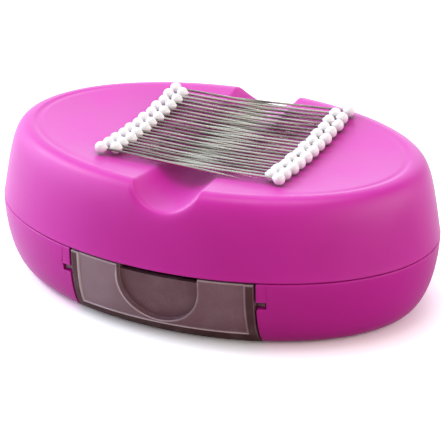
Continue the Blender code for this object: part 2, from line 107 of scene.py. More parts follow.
class Graph:
    """A node tree being wired up, with one short call for each kind of step."""

    def __init__(self, tree: bpy.types.NodeTree) -> None:
        """Starts on a tree.

        Args:
            tree: The shader or geometry tree that the nodes go into.
        """
        self.tree = tree

    def add(self, kind: str, **settings: object) -> bpy.types.Node:
        """Adds a node.

        Args:
            kind: The node's type name.
            **settings: Properties to set on it.

        Returns:
            The new node.
        """
        node = self.tree.nodes.new(kind)
        for name, value in settings.items():
            setattr(node, name, value)
        return node

    def plug(self, node: bpy.types.Node, socket: Union[str, int], value: Value) -> None:
        """Feeds one input.

        Args:
            node: The node that is fed.
            socket: The input's name or place.
            value: A number to set, or an output to link.
        """
        target = node.inputs[socket]
        if isinstance(value, bpy.types.NodeSocket):
            self.tree.links.new(value, target)
        else:
            target.default_value = value

    def math(self, operation: str, *values: Value, clamp: bool = False) -> Socket:
        """Adds a sum.

        Args:
            operation: The Math node's operation.
            *values: Its numbers.
            clamp: Whether the result stays between 0 and 1.

        Returns:
            The result's socket.
        """
        node = self.add("ShaderNodeMath", operation=operation, use_clamp=clamp)
        for place, value in enumerate(values):
            self.plug(node, place, value)
        return node.outputs[0]

    def vector(self, operation: str, *values: Value, output: int = 0) -> Socket:
        """Adds a vector sum.

        Args:
            operation: The Vector Math node's operation.
            *values: Its vectors, or a scale in fourth place.
            output: 0 for a vector result, 1 for a number.

        Returns:
            The result's socket.
        """
        node = self.add("ShaderNodeVectorMath", operation=operation)
        for place, value in enumerate(values):
            self.plug(node, 3 if operation == "SCALE" and place == 1 else place, value)
        return node.outputs[output]

    def split(self, vector: Socket) -> list[Socket]:
        """The three parts of a vector.

        Args:
            vector: The vector.

        Returns:
            Its x, y and z.
        """
        node = self.add("ShaderNodeSeparateXYZ")
        self.plug(node, 0, vector)
        return list(node.outputs)

    def noise(self, vector: Socket, scale: Value, detail: float = 2.0,
              roughness: float = 0.5) -> Socket:
        """Adds seeded noise.

        Args:
            vector: Where it is read.
            scale: Cells in one metre.
            detail: Octaves.
            roughness: How strong the finer octaves are.

        Returns:
            A value from 0 to 1.
        """
        node = self.add("ShaderNodeTexNoise", noise_dimensions="3D")
        self.plug(node, "Vector", vector)
        self.plug(node, "Scale", scale)
        self.plug(node, "Detail", detail)
        self.plug(node, "Roughness", roughness)
        return node.outputs["Fac"]

    def span(self, value: Value, low: Value, high: Value, to_low: float = 0.0,
             to_high: float = 1.0) -> Socket:
        """Maps a value smoothly from one span to another.

        Args:
            value: The value.
            low: Start of its span.
            high: End of its span.
            to_low: What the start becomes.
            to_high: What the end becomes.

        Returns:
            The mapped value.
        """
        node = self.add("ShaderNodeMapRange", interpolation_type="SMOOTHSTEP")
        for place, number in enumerate((value, low, high, to_low, to_high)):
            self.plug(node, place, number)
        return node.outputs[0]

    def mix(self, factor: Value, one: Value, other: Value) -> Socket:
        """Mixes two colours.

        Args:
            factor: 0 for the first and 1 for the second.
            one: The first colour.
            other: The second colour.

        Returns:
            The mixed colour.
        """
        node = self.add("ShaderNodeMix", data_type="RGBA")
        self.plug(node, 0, factor)
        self.plug(node, 6, one)
        self.plug(node, 7, other)
        return node.outputs[2]


def open_group(name: str, kind: str, inputs: Sequence[tuple[str, str]],
               outputs: Sequence[tuple[str, str]]) -> tuple[Graph, bpy.types.Node, bpy.types.Node]:
    """Starts a node group with named sockets.

    Args:
        name: The group's name.
        kind: SHADER_TREE or SHAPE_TREE.
        inputs: Name and socket type of each input.
        outputs: Name and socket type of each output.

    Returns:
        The graph, its input node and its output node.
    """
    tree = bpy.data.node_groups.new(name, kind)
    for label, socket_type in inputs:
        tree.interface.new_socket(label, in_out="INPUT", socket_type=socket_type)
    for label, socket_type in outputs:
        tree.interface.new_socket(label, in_out="OUTPUT", socket_type=socket_type)
    graph = Graph(tree)
    return graph, graph.add("NodeGroupInput"), graph.add("NodeGroupOutput")


# ---------------------------------------------------------------- shared surface effects


class Effects:
    """The shader groups that several finishes share."""

    def __init__(self) -> None:
        """Builds each group once."""
        self.grain = self._grain()
        self.handling = self._handling()
        self.edges = self._edges()

    @staticmethod
    def _grain() -> bpy.types.NodeTree:
        """Moulded or brushed grain: a fine height over a slow swell, and a soft cloud for the
        colour.

        Returns:
            The group.
        """
        graph, given, result = open_group(
            "surface_grain", SHADER_TREE,
            [("Vector", VECTOR), ("Scale", FLOAT), ("Swell", FLOAT)],
            [("Height", FLOAT), ("Cloud", FLOAT)])
        vector, scale, swell = given.outputs[0], given.outputs[1], given.outputs[2]
        fine = graph.noise(vector, scale, 3.0, 0.6)
        slow = graph.noise(vector, graph.math("MULTIPLY", scale, 0.06), 1.0)
        rolled = graph.math("MULTIPLY", slow, swell)
        graph.plug(result, "Height", graph.math("ADD", fine, rolled))
        cloud = graph.noise(vector, graph.math("MULTIPLY", scale, 0.02), 3.0)
        graph.plug(result, "Cloud", graph.span(cloud, 0.3, 0.7))
        return graph.tree

    @staticmethod
    def _handling() -> bpy.types.NodeTree:
        """Faint marks of handling, as a change of roughness.

        Returns:
            The group.
        """
        graph, given, result = open_group(
            "handling_marks", SHADER_TREE,
            [("Vector", VECTOR), ("Scale", FLOAT), ("Roughness", FLOAT),
             ("Amount", FLOAT)],
            [("Roughness", FLOAT), ("Marks", FLOAT)])
        vector, scale, roughness, amount = given.outputs[:4]
        patches = graph.span(graph.noise(vector, scale, 4.0, 0.55), 0.42, 0.66)
        streaks = graph.noise(graph.vector("MULTIPLY", vector, (1.0, 5.0, 1.0)),
                              graph.math("MULTIPLY", scale, 6.0))
        marks = graph.math("MULTIPLY", patches, graph.span(streaks, 0.3, 0.7, 0.4, 1.0))
        graph.plug(result, "Marks", marks)
        graph.plug(result, "Roughness", graph.math("MULTIPLY_ADD", marks, amount, roughness))
        return graph.tree

    @staticmethod
    def _edges() -> bpy.types.NodeTree:
        """Softened corners: the rounded normal, and how near to a corner a point is.

        Returns:
            The group.
        """
        graph, given, result = open_group(
            "softened_edges", SHADER_TREE, [("Radius", FLOAT)],
            [("Normal", VECTOR), ("Edge", FLOAT)])
        rounded = graph.add("ShaderNodeBevel", samples=6)
        graph.plug(rounded, "Radius", given.outputs[0])
        flat = graph.add("ShaderNodeNewGeometry").outputs["Normal"]
        turned = graph.vector("DOT_PRODUCT", rounded.outputs[0], flat, output=1)
        graph.plug(result, "Normal", rounded.outputs[0])
        graph.plug(result, "Edge", graph.span(turned, 0.995, 0.75))
        return graph.tree


# ---------------------------------------------------------------- finishes


class Finish:
    """A material being made: its graph, its shader, and the shared effects placed in it."""

    def __init__(self, name: str, effects: Effects) -> None:
        """Opens a new material.

        Args:
            name: The material's name.
            effects: The shared groups.
        """
        self.material = bpy.data.materials.new(name)
        self.material.use_nodes = True
        self.graph = Graph(self.material.node_tree)
        self.shader = self.material.node_tree.nodes["Principled BSDF"]
        self.effects = effects
        self.place = self.graph.add("ShaderNodeTexCoord").outputs["Object"]

    def group(self, tree: bpy.types.NodeTree, **values: Value) -> bpy.types.Node:
        """Places a shared group.

        Args:
            tree: The group.
            **values: Its inputs by name.

        Returns:
            The group's node.
        """
        node = self.graph.add("ShaderNodeGroup", node_tree=tree)
        for name, value in values.items():
            self.graph.plug(node, name, value)
        return node

    def set(self, **values: Value) -> None:
        """Feeds the shader's own sockets, whose names are written here with _ for each space."""
        for name, value in values.items():
            self.graph.plug(self.shader, name.replace("_", " "), value)

    def bump(self, height: Value, distance: float, strength: float,
             normal: Optional[Socket] = None) -> None:
        """Feeds the shader's normal from a height.

        Args:
            height: The height, from 0 to 1.
            distance: What a height of 1 is in metres.
            strength: How much of it shows.
            normal: A normal to start from.
        """
        node = self.graph.add("ShaderNodeBump")
        self.graph.plug(node, "Height", height)
        self.graph.plug(node, "Distance", distance)
        self.graph.plug(node, "Strength", strength)
        if normal is not None:
            self.graph.plug(node, "Normal", normal)
        self.graph.plug(self.shader, "Normal", node.outputs[0])


def rgba(colour: Sequence[float]) -> tuple[float, float, float, float]:
    """A linear colour with full cover."""
    return (colour[0], colour[1], colour[2], 1.0)


@dataclass(frozen=True)
class PinkPlastic:
    """Satin moulded plastic of the case."""

    colour: Colour = (0.57, 0.0005, 0.335)
    pale: Colour = (0.67, 0.006, 0.42)
    roughness: float = 0.42
    painted_shade: Colour = (0.24, 0.0002, 0.12)
    reach: float = 8.0 * MM
    shade_from: float = 20.0 * MM
    shade_full: float = 31.0 * MM
    grain_scale: float = 3000.0
    grain_depth: float = 0.022 * MM
    edge_radius: float = 0.25 * MM

    def make(self, effects: Effects) -> bpy.types.Material:
        """Builds the material.

        Args:
            effects: The shared groups.

        Returns:
            The material.
        """
        finish = Finish("case_pink", effects)
        graph = finish.graph
        grain = finish.group(effects.grain, Vector=finish.place, Scale=self.grain_scale, Swell=0.5)
        marks = finish.group(effects.handling, Vector=finish.place, Scale=60.0,
                             Roughness=self.roughness, Amount=0.07)
        edges = finish.group(effects.edges, Radius=self.edge_radius)
        cloud = graph.math("MULTIPLY", grain.outputs["Cloud"], 0.35)
        # Paler at the corners as a painted highlight, plus a random cloud of tone.
        wear_and_edge_highlight = graph.math("MULTIPLY_ADD", edges.outputs["Edge"], 0.5, cloud, clamp=True)
        # Painted shade: darker towards the shade colour in hollows found by ambient occlusion, only
        # high on the case, on the top and in the finger channel.
        hollow = graph.add("ShaderNodeAmbientOcclusion", samples=8)
        graph.plug(hollow, "Distance", self.reach)
        height = graph.split(finish.place)[2]
        painted_shade_mask = graph.math("MULTIPLY", graph.span(hollow.outputs["AO"], 0.92, 0.3),
                              graph.span(height, self.shade_from, self.shade_full))
        colour = graph.mix(wear_and_edge_highlight, rgba(self.colour), rgba(self.pale))
        finish.set(Base_Color=graph.mix(painted_shade_mask, colour, rgba(self.painted_shade)),
                   Roughness=marks.outputs["Roughness"],
                   IOR=1.5, Specular_IOR_Level=0.6, Sheen_Weight=0.32, Sheen_Roughness=0.3)
        finish.bump(grain.outputs["Height"], self.grain_depth, 0.35, edges.outputs["Normal"])
        return finish.material


@dataclass(frozen=True)
class SmokePlastic:
    """Smoky translucent plastic of the drawer, with painted shade where its walls stand behind the
    front and painted highlights along its edges and lines.
    """

    colour: Colour = (0.315, 0.16, 0.215)
    painted_shade_colour: Colour = (0.115, 0.038, 0.05)
    painted_highlight_colour: Colour = (0.90, 0.74, 0.82)
    roughness: float = 0.34
    band_x: float = 20.7 * MM
    band_z: float = 3.6 * MM
    line: float = 0.35 * MM
    arc_radius: float = 10.0 * MM
    arc_centre: float = 14.4 * MM
    slot_z: float = 15.6 * MM
    brow_z: float = 17.1 * MM
    rail_x: float = 22.6 * MM
    ring_half: float = 0.6 * MM
    side_half: float = 0.42 * MM
    sill_half: float = 0.25 * MM
    stub_half: float = 0.5 * MM
    line_gain: float = 1.8
    ragged_scale: float = 1900.0
    transmission: float = 0.3

    def make(self, effects: Effects) -> bpy.types.Material:
        """Builds the material.

        Args:
            effects: The shared groups.

        Returns:
            The material.
        """
        finish = Finish("drawer_smoke", effects)
        graph = finish.graph
        grain = finish.group(effects.grain, Vector=finish.place, Scale=3600.0, Swell=0.8)
        marks = finish.group(effects.handling, Vector=finish.place, Scale=90.0,
                             Roughness=self.roughness, Amount=0.12)
        edges = finish.group(effects.edges, Radius=0.3 * MM)
        x, _, z = graph.split(finish.place)
        # Painted shade: a dark band down the sides and along the bottom of the front, where the
        # walls stand behind it.
        out = graph.span(graph.math("ABSOLUTE", x), self.band_x, self.band_x + self.line)
        under = graph.span(z, self.band_z, self.band_z - self.line)
        front = graph.add("ShaderNodeAttribute", attribute_name="front").outputs["Fac"]
        band = graph.math("MULTIPLY", graph.math("MAXIMUM", out, under), front)
        speckle = graph.span(grain.outputs["Height"], 0.55, 1.25, -0.08, 0.12)
        body = graph.mix(band, rgba(self.colour), rgba(self.painted_shade_colour))
        down = graph.math("SUBTRACT", z, self.arc_centre)
        reach = graph.math("SQRT", graph.math("ADD", graph.math("POWER", x, 2.0),
                                              graph.math("POWER", down, 2.0)))
        inside = graph.span(reach, self.arc_radius, self.arc_radius - 0.3 * MM)
        glint_lines = self.glint_lines(graph, finish.place, reach)
        glint_lines = graph.math("MULTIPLY", glint_lines, front)
        # Painted shade on the rails, in their notches.
        rail = graph.span(graph.math("ABSOLUTE", x), self.rail_x, self.rail_x + 0.2 * MM, 0.0, 0.75)
        body = graph.mix(rail, body, rgba(self.painted_shade_colour))
        # Painted shade: the finger recess a little darker.
        body = graph.mix(graph.math("MULTIPLY", inside, 0.25), body, rgba(self.painted_shade_colour))
        # Painted light: the left of the front paler towards the highlight colour, outside the
        # recess and the band.
        pale = graph.math("MULTIPLY", graph.span(x, 4.0 * MM, -19.0 * MM, 0.0, 0.22),
                          graph.math("SUBTRACT", 1.0, inside))
        body = graph.mix(graph.math("MULTIPLY", pale, graph.math("SUBTRACT", 1.0, band)), body,
                         rgba(self.painted_highlight_colour))
        # Painted highlights on the corners and along the glint lines, with the grain's speckle.
        lit = graph.math("MULTIPLY_ADD", edges.outputs["Edge"], 0.4,
                         graph.math("ADD", speckle, glint_lines), clamp=True)
        finish.set(Base_Color=graph.mix(lit, body, rgba(self.painted_highlight_colour)),
                   Roughness=marks.outputs["Roughness"], IOR=1.49,
                   Transmission_Weight=self.transmission)
        finish.bump(grain.outputs["Height"], 0.02 * MM, 0.3, edges.outputs["Normal"])
        return finish.material

    def glint_lines(self, graph: Graph, place: Socket, reach: Socket) -> Socket:
        """Painted highlights: bright lines round the recess, down the sides, along the sill and
        over the slot.

        Args:
            graph: The material's graph.
            place: Where a point is.
            reach: How far it is from the recess's centre.

        Returns:
            How bright the lines are there.
        """
        x, _, z = graph.split(place)
        ring = self.ridge(graph, graph.math("SUBTRACT", reach, self.arc_radius), self.ring_half)
        ring = graph.math("MULTIPLY", ring, graph.span(z, self.slot_z + 1.0 * MM,
                                                       self.slot_z - 0.5 * MM))
        ring = graph.math("MULTIPLY", ring, graph.span(x, 8.5 * MM, -5.0 * MM, 0.18, 1.0))
        side = self.ridge(graph, graph.math("SUBTRACT", graph.math("ABSOLUTE", x), self.band_x),
                          self.side_half)
        side = graph.math("MULTIPLY", side, graph.span(x, 15.0 * MM, -15.0 * MM, 0.15, 0.9))
        side = graph.math("MULTIPLY", side, graph.span(z, self.band_z - 0.4 * MM, self.band_z))
        sill = self.ridge(graph, graph.math("SUBTRACT", z, self.band_z), self.sill_half)
        sill = graph.math("MULTIPLY", sill, graph.span(graph.math("ABSOLUTE", x),
                                                       self.band_x + 0.2 * MM, self.band_x))
        glint_lines = graph.math("MAXIMUM", ring, graph.math("MAXIMUM", side,
                                                       graph.math("MULTIPLY", sill, 0.45)))
        # Painted glints on the posts at the slot's ends, and a painted highlight along the top
        # edge.
        stub = self.ridge(graph, graph.math("SUBTRACT", graph.math("ABSOLUTE", x), self.arc_radius),
                          self.stub_half)
        stub = graph.math("MULTIPLY", stub, graph.span(z, self.slot_z - 0.6 * MM,
                                                       self.slot_z + 0.4 * MM))
        ragged = graph.span(graph.noise(place, self.ragged_scale, 2.0), 0.4, 0.6, 0.25, 1.0)
        stub = graph.math("MULTIPLY", stub, ragged)
        brow = graph.math("MULTIPLY", graph.span(z, self.brow_z - 0.25 * MM,
                                                 self.brow_z + 0.1 * MM), 0.5)
        return graph.math("MAXIMUM", graph.math("MULTIPLY", glint_lines, self.line_gain),
                          graph.math("MAXIMUM", stub, brow))

    @staticmethod
    def ridge(graph: Graph, off: Socket, half: float) -> Socket:
        """A soft line where a distance passes through zero, this far to each side."""
        return graph.span(graph.math("ABSOLUTE", off), half, 0.15 * half)


@dataclass(frozen=True)
class NickelSteel:
    """Bright drawn steel of the pin shafts."""

    colour: Colour = (0.72, 0.68, 0.60)
    painted_streaks_and_marks: Colour = (0.11, 0.092, 0.07)
    roughness: float = 0.22

    def make(self, effects: Effects) -> bpy.types.Material:
        """Builds the material.

        Args:
            effects: The shared groups.

        Returns:
            The material.
        """
        finish = Finish("pin_steel", effects)
        graph = finish.graph
        drawn = graph.vector("MULTIPLY", finish.place, (0.04, 1.0, 1.0))
        grain = finish.group(effects.grain, Vector=drawn, Scale=9000.0, Swell=0.4)
        marks = finish.group(effects.handling, Vector=finish.place, Scale=160.0,
                             Roughness=self.roughness, Amount=0.15)
        # Painted reflection and shade: dark streaks along the pins, with faint handling marks,
        # stand in for the dark gaps and reflections between the crossing pins.
        each = graph.span(graph.noise(graph.vector("MULTIPLY", finish.place, (0.02, 1.0, 0.3)),
                                      1700.0, 1.0), 0.38, 0.62)
        painted_streaks_and_marks = graph.math("MULTIPLY_ADD", each, 0.62,
                          graph.math("MULTIPLY", marks.outputs["Marks"], 0.35), clamp=True)
        colour = graph.mix(painted_streaks_and_marks, rgba(self.colour), rgba(self.painted_streaks_and_marks))
        finish.set(Base_Color=colour, Roughness=marks.outputs["Roughness"], Metallic=1.0)
        finish.bump(grain.outputs["Height"], 0.004 * MM, 0.25)
        return finish.material


@dataclass(frozen=True)
class WhiteBead:
    """Glossy white plastic of the pin heads."""

    colour: Colour = (0.86, 0.83, 0.84)
    roughness: float = 0.2

    def make(self, effects: Effects) -> bpy.types.Material:
        """Builds the material.

        Args:
            effects: The shared groups.

        Returns:
            The material.
        """
        finish = Finish("pin_bead", effects)
        graph = finish.graph
        grain = finish.group(effects.grain, Vector=finish.place, Scale=2500.0, Swell=0.6)
        marks = finish.group(effects.handling, Vector=finish.place, Scale=200.0,
                             Roughness=self.roughness, Amount=0.1)
        warm = graph.math("MULTIPLY", grain.outputs["Cloud"], 0.4)
        finish.set(Base_Color=graph.mix(warm, rgba(self.colour), (0.84, 0.80, 0.80, 1.0)),
                   Roughness=marks.outputs["Roughness"], IOR=1.5, Coat_Weight=0.3)
        finish.bump(grain.outputs["Height"], 0.01 * MM, 0.2)
        return finish.material


@dataclass(frozen=True)
class FerriteBlack:
    """Sintered ferrite of the magnets, lighter where its corners are rubbed."""

    colour: Colour = (0.018, 0.018, 0.02)
    rubbed: Colour = (0.09, 0.09, 0.095)

    def make(self, effects: Effects) -> bpy.types.Material:
        """Builds the material.

        Args:
            effects: The shared groups.

        Returns:
            The material.
        """
        finish = Finish("magnet_ferrite", effects)
        graph = finish.graph
        grain = finish.group(effects.grain, Vector=finish.place, Scale=3000.0, Swell=0.7)
        edges = finish.group(effects.edges, Radius=0.35 * MM)
        wear_and_edge_highlight = graph.math("MULTIPLY_ADD", grain.outputs["Cloud"], 0.25, edges.outputs["Edge"],
                          clamp=True)
        finish.set(Base_Color=graph.mix(wear_and_edge_highlight, rgba(self.colour), rgba(self.rubbed)),
                   Roughness=graph.span(grain.outputs["Height"], 0.3, 1.2, 0.45, 0.7), Metallic=0.2)
        finish.bump(grain.outputs["Height"], 0.03 * MM, 0.5, edges.outputs["Normal"])
        return finish.material


@dataclass(frozen=True)
class ScrewSteel:
    """Zinc-plated steel of the case screws."""

    colour: Colour = (0.50, 0.50, 0.52)

    def make(self, effects: Effects) -> bpy.types.Material:
        """Builds the material.

        Args:
            effects: The shared groups.

        Returns:
            The material.
        """
        finish = Finish("screw_steel", effects)
        graph = finish.graph
        grain = finish.group(effects.grain, Vector=finish.place, Scale=2600.0, Swell=0.5)
        marks = finish.group(effects.handling, Vector=finish.place, Scale=120.0, Roughness=0.3,
                             Amount=0.2)
        edges = finish.group(effects.edges, Radius=0.15 * MM)
        pale = graph.math("MULTIPLY_ADD", edges.outputs["Edge"], 0.6, graph.math(
            "MULTIPLY", grain.outputs["Cloud"], 0.3), clamp=True)
        finish.set(Base_Color=graph.mix(pale, rgba(self.colour), (0.72, 0.72, 0.70, 1.0)),
                   Roughness=marks.outputs["Roughness"], Metallic=1.0)
        finish.bump(grain.outputs["Height"], 0.008 * MM, 0.3, edges.outputs["Normal"])
        return finish.material


@dataclass(frozen=True)
class Palette:
    """Every finish of the object, made once."""

    pink: bpy.types.Material
    smoke: bpy.types.Material
    nickel: bpy.types.Material
    bead: bpy.types.Material
    ferrite: bpy.types.Material
    zinc: bpy.types.Material

    @classmethod
    def mix(cls) -> "Palette":
        """Makes the shared groups and every finish from them.

        Returns:
            The palette.
        """
        effects = Effects()
        return cls(PinkPlastic().make(effects), SmokePlastic().make(effects),
                   NickelSteel().make(effects),
                   WhiteBead().make(effects), FerriteBlack().make(effects),
                   ScrewSteel().make(effects))


# ---------------------------------------------------------------- meshes and pieces


def placed(name: str, data: bpy.types.ID) -> bpy.types.Object:
    """Puts a mesh, a light or a camera into the scene, at the origin.

    Args:
        name: The object's name.
        data: What it shows.

    Returns:
        The new object.
    """
    made = bpy.data.objects.new(name, data)
    bpy.context.scene.collection.objects.link(made)
    return made


def piece_from(name: str, mesh: bpy.types.Mesh, finish: bpy.types.Material,
               crease: float = 32.0) -> bpy.types.Object:
    """Puts a finished mesh into the scene.

    Args:
        name: The piece's name.
        mesh: Its mesh, already in place.
        finish: Its material.
        crease: Faces that meet at more than this many degrees keep a sharp edge.

    Returns:
        The new object, at the origin.
    """
    mesh.name = name
    mesh.materials.clear()
    mesh.materials.append(finish)
    mesh.shade_smooth()
    mesh.set_sharp_from_angle(angle=math.radians(crease))
    return placed(name, mesh)


def settle(piece: bpy.types.Object, body: str, slot: str, *nodes: str) -> bpy.types.Object:
    """Gives a piece its body, and hides the nodes that it stands for.

    Args:
        piece: The piece.
        body: The body that it moves with.
        slot: Its material slot; not used.
        *nodes: The nodes that it stands for.

    Returns:
        The same piece.
    """
    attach(piece, body)
    if nodes:
        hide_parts(*nodes)
    return piece


def evaluated_mesh(owner: bpy.types.Object) -> bpy.types.Mesh:
    """A plain mesh of the object as its modifiers leave it. The object itself is removed.

    Args:
        owner: The object, which is used up.

    Returns:
        The mesh.
    """
    bpy.context.view_layer.update()
    graph = bpy.context.evaluated_depsgraph_get()
    mesh = bpy.data.meshes.new_from_object(owner.evaluated_get(graph),
                                           preserve_all_data_layers=True, depsgraph=graph)
    bpy.data.objects.remove(owner)
    return mesh


def run_tree(mesh: bpy.types.Mesh, tree: bpy.types.NodeTree, **values: object) -> bpy.types.Mesh:
    """Runs a geometry tree on a mesh, with its inputs set by their identifiers.

    Args:
        mesh: The mesh that the tree starts from.
        tree: The tree.
        **values: Its inputs by name, with _ for each space.

    Returns:
        What the tree makes, as a plain mesh.
    """
    owner = placed(mesh.name, mesh)
    modifier = owner.modifiers.new(tree.name, "NODES")
    modifier.node_group = tree
    inputs = [item for item in tree.interface.items_tree if getattr(item, "in_out", "") == "INPUT"]
    named = {item.name: item.identifier for item in inputs}
    for name, value in values.items():
        modifier[named[name.replace("_", " ")]] = value
    return evaluated_mesh(owner)


class Solid:
    """A closed helper shape that other shapes can be joined to or cut from."""

    def __init__(self, name: str, bm: bmesh.types.BMesh) -> None:
        """Turns a bmesh into an object with its faces outward.

        Args:
            name: The helper's name.
            bm: The bmesh, which is used up.
        """
        bmesh.ops.recalc_face_normals(bm, faces=bm.faces[:])
        mesh = bpy.data.meshes.new(name)
        bm.to_mesh(mesh)
        bm.free()
        self.object = placed(name, mesh)
        self.helpers: list[Solid] = []

    def with_shape(self, cut: Cut, *others: "Solid") -> "Solid":
        """Adds, removes or intersects other shapes, and returns this one.

        Args:
            cut: What the others do to this shape.
            *others: The other shapes, which are used up with it.

        Returns:
            This shape.
        """
        for other in others:
            step = self.object.modifiers.new(other.object.name, "BOOLEAN")
            step.operation = cut.value
            step.object = other.object
            step.solver = "EXACT"
            self.helpers.append(other)
        return self

    def mesh(self) -> bpy.types.Mesh:
        """The finished mesh. This shape and its helpers are removed.

        Returns:
            The mesh.
        """
        made = evaluated_mesh(self.object)
        for helper in self.helpers:
            helper.discard()
        return made

    def discard(self) -> None:
        """Removes this shape and its helpers from the scene."""
        for helper in self.helpers:
            helper.discard()
        bpy.data.objects.remove(self.object)


def band(bm: bmesh.types.BMesh, one: Loop, other: Loop) -> None:
    """Adds the faces between two closed loops.

    Args:
        bm: The bmesh they go into.
        one: The first loop's points, in order.
        other: As many points of the second loop, in the same order.
    """
    for i in range(len(one)):
        j = (i + 1) % len(one)
        bm.faces.new((one[i], one[j], other[j], other[i]))


def add_box(bm: bmesh.types.BMesh, low: Sequence[float], high: Sequence[float]) -> None:
    """Adds a closed box between two corners.

    Args:
        bm: The bmesh it goes into.
        low: The corner with the lowest x, y and z.
        high: The opposite corner.
    """
    for vertex in bmesh.ops.create_cube(bm, size=1.0)["verts"]:
        vertex.co = Vector([low[i] + (vertex.co[i] + 0.5) * (high[i] - low[i]) for i in range(3)])


def axis_of(node: str) -> tuple[float, float]:
    """Where the middle of a node of the fixed frame stands, as (x, y)."""
    low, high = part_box(node)
    return (low.x + high.x) / 2, (low.y + high.y) / 2


def box(name: str, low: Sequence[float], high: Sequence[float]) -> Solid:
    """A closed box between two corners.

    Args:
        name: The helper's name.
        low: The corner with the lowest x, y and z.
        high: The opposite corner.

    Returns:
        The box.
    """
    bm = bmesh.new()
    add_box(bm, low, high)
    return Solid(name, bm)


def post(name: str, x: float, y: float, low: float, high: float, radius: float,
         sides: int = 40) -> Solid:
    """A closed upright cylinder.

    Args:
        name: The helper's name.
        x: Where its axis stands across.
        y: Where its axis stands from front to back.
        low: Height of its foot.
        high: Height of its top.
        radius: Its radius.
        sides: Steps round.

    Returns:
        The cylinder.
    """
    bm = bmesh.new()
    bmesh.ops.create_cone(bm, cap_ends=True, segments=sides, radius1=radius, radius2=radius,
                          depth=high - low)
    bmesh.ops.translate(bm, verts=bm.verts[:], vec=(x, y, (low + high) / 2))
    return Solid(name, bm)


def prism(name: str, outline: Sequence[tuple[float, float]]) -> Solid:
    """A closed outline in the XZ plane, carried right through along Y.

    Args:
        name: The helper's name.
        outline: (x, z) points round it, in order.

    Returns:
        The prism.
    """
    bm = bmesh.new()
    near = [bm.verts.new((x, -FAR, z)) for x, z in outline]
    away = [bm.verts.new((x, FAR, z)) for x, z in outline]
    band(bm, near, away)
    bm.faces.new(near)
    bm.faces.new(away)
    return Solid(name, bm)


def curved_block(name: str, halves: tuple[float, float], bottoms: tuple[float, float], top: float,
                 near: Surface, far: Surface, columns: int = 56, rows: int = 24) -> Solid:
    """A block whose front and back are surfaces over (x, z), and whose front may be wider and
    deeper than its back.

    Args:
        name: The helper's name.
        halves: Half its width at the front and at the back.
        bottoms: Height of its underside at the front and at the back.
        top: Height of its top.
        near: The front's y at (x, z).
        far: The back's y at (x, z).
        columns: Steps across.
        rows: Steps up.

    Returns:
        The block.
    """
    bm = bmesh.new()
    loops = []
    for row in range(rows + 1):
        share = row / rows
        front_z, back_z = (bottom + (top - bottom) * share for bottom in bottoms)
        steps = [2 * i / columns - 1 for i in range(columns + 1)]
        loop = [bm.verts.new((halves[0] * s, near(halves[0] * s, front_z), front_z)) for s in steps]
        loop += [bm.verts.new((halves[1] * s, far(halves[1] * s, back_z),
                               back_z)) for s in reversed(steps)]
        loops.append(loop)
    for one, other in zip(loops, loops[1:]):
        band(bm, one, other)
    for loop in (loops[0], loops[-1]):
        for i in range(columns):
            bm.faces.new((loop[i], loop[i + 1], loop[-2 - i], loop[-1 - i]))
    return Solid(name, bm)


def drop_flaps(mesh: bpy.types.Mesh) -> bpy.types.Mesh:
    """Closes up what a bevel leaves where it runs out: points that coincide and faces lying back
    to back.

    Args:
        mesh: The mesh to clean, changed in place.

    Returns:
        The same mesh.
    """
    bm = bmesh.new()
    bm.from_mesh(mesh)
    bmesh.ops.remove_doubles(bm, verts=bm.verts[:], dist=WELD)
    bmesh.ops.dissolve_degenerate(bm, dist=0.0005 * MM, edges=bm.edges[:])
    alike: dict[tuple[int, ...], list[bmesh.types.BMFace]] = {}
    bm.verts.index_update()
    for face in bm.faces:
        alike.setdefault(tuple(sorted(v.index for v in face.verts)), []).append(face)
    flaps = [face for faces in alike.values() for face in faces[:len(faces) // 2 * 2]]
    bmesh.ops.delete(bm, geom=flaps, context="FACES")
    loose = [vertex for vertex in bm.verts if not vertex.link_faces]
    bmesh.ops.delete(bm, geom=loose, context="VERTS")
    rim = [edge for edge in bm.edges if edge.is_boundary]
    corners = sorted({vertex for edge in rim for vertex in edge.verts},
                     key=lambda vertex: tuple(vertex.co))
    for edge in rim:
        start, span = edge.verts[0], edge.verts[1].co - edge.verts[0].co
        for corner in corners:
            share = (corner.co - start.co).dot(span) / span.length_squared
            if 0.001 < share < 0.999 and (start.co + span * share - corner.co).length < WELD:
                bmesh.utils.edge_split(edge, start, share)
                break
    bmesh.ops.remove_doubles(bm, verts=bm.verts[:], dist=WELD)
    bm.to_mesh(mesh)
    bm.free()
    return mesh


def turned(bm: bmesh.types.BMesh, profile: Rows, centre: tuple[float, float],
           sides: int = 40) -> None:
    """Adds a closed ring of revolution about an upright axis.

    Args:
        bm: The bmesh it goes into.
        profile: (radius, height) points round its section, in order.
        centre: Where the axis stands.
        sides: Steps round.
    """
    angles = [2 * math.pi * i / sides for i in range(sides)]
    loops = [[bm.verts.new((centre[0] + r * math.cos(a), centre[1] + r * math.sin(a),
                            z)) for a in angles]
             for r, z in profile]
    for one, other in zip(loops, loops[1:] + loops[:1]):
        band(bm, one, other)


# ---------------------------------------------------------------- the case's form


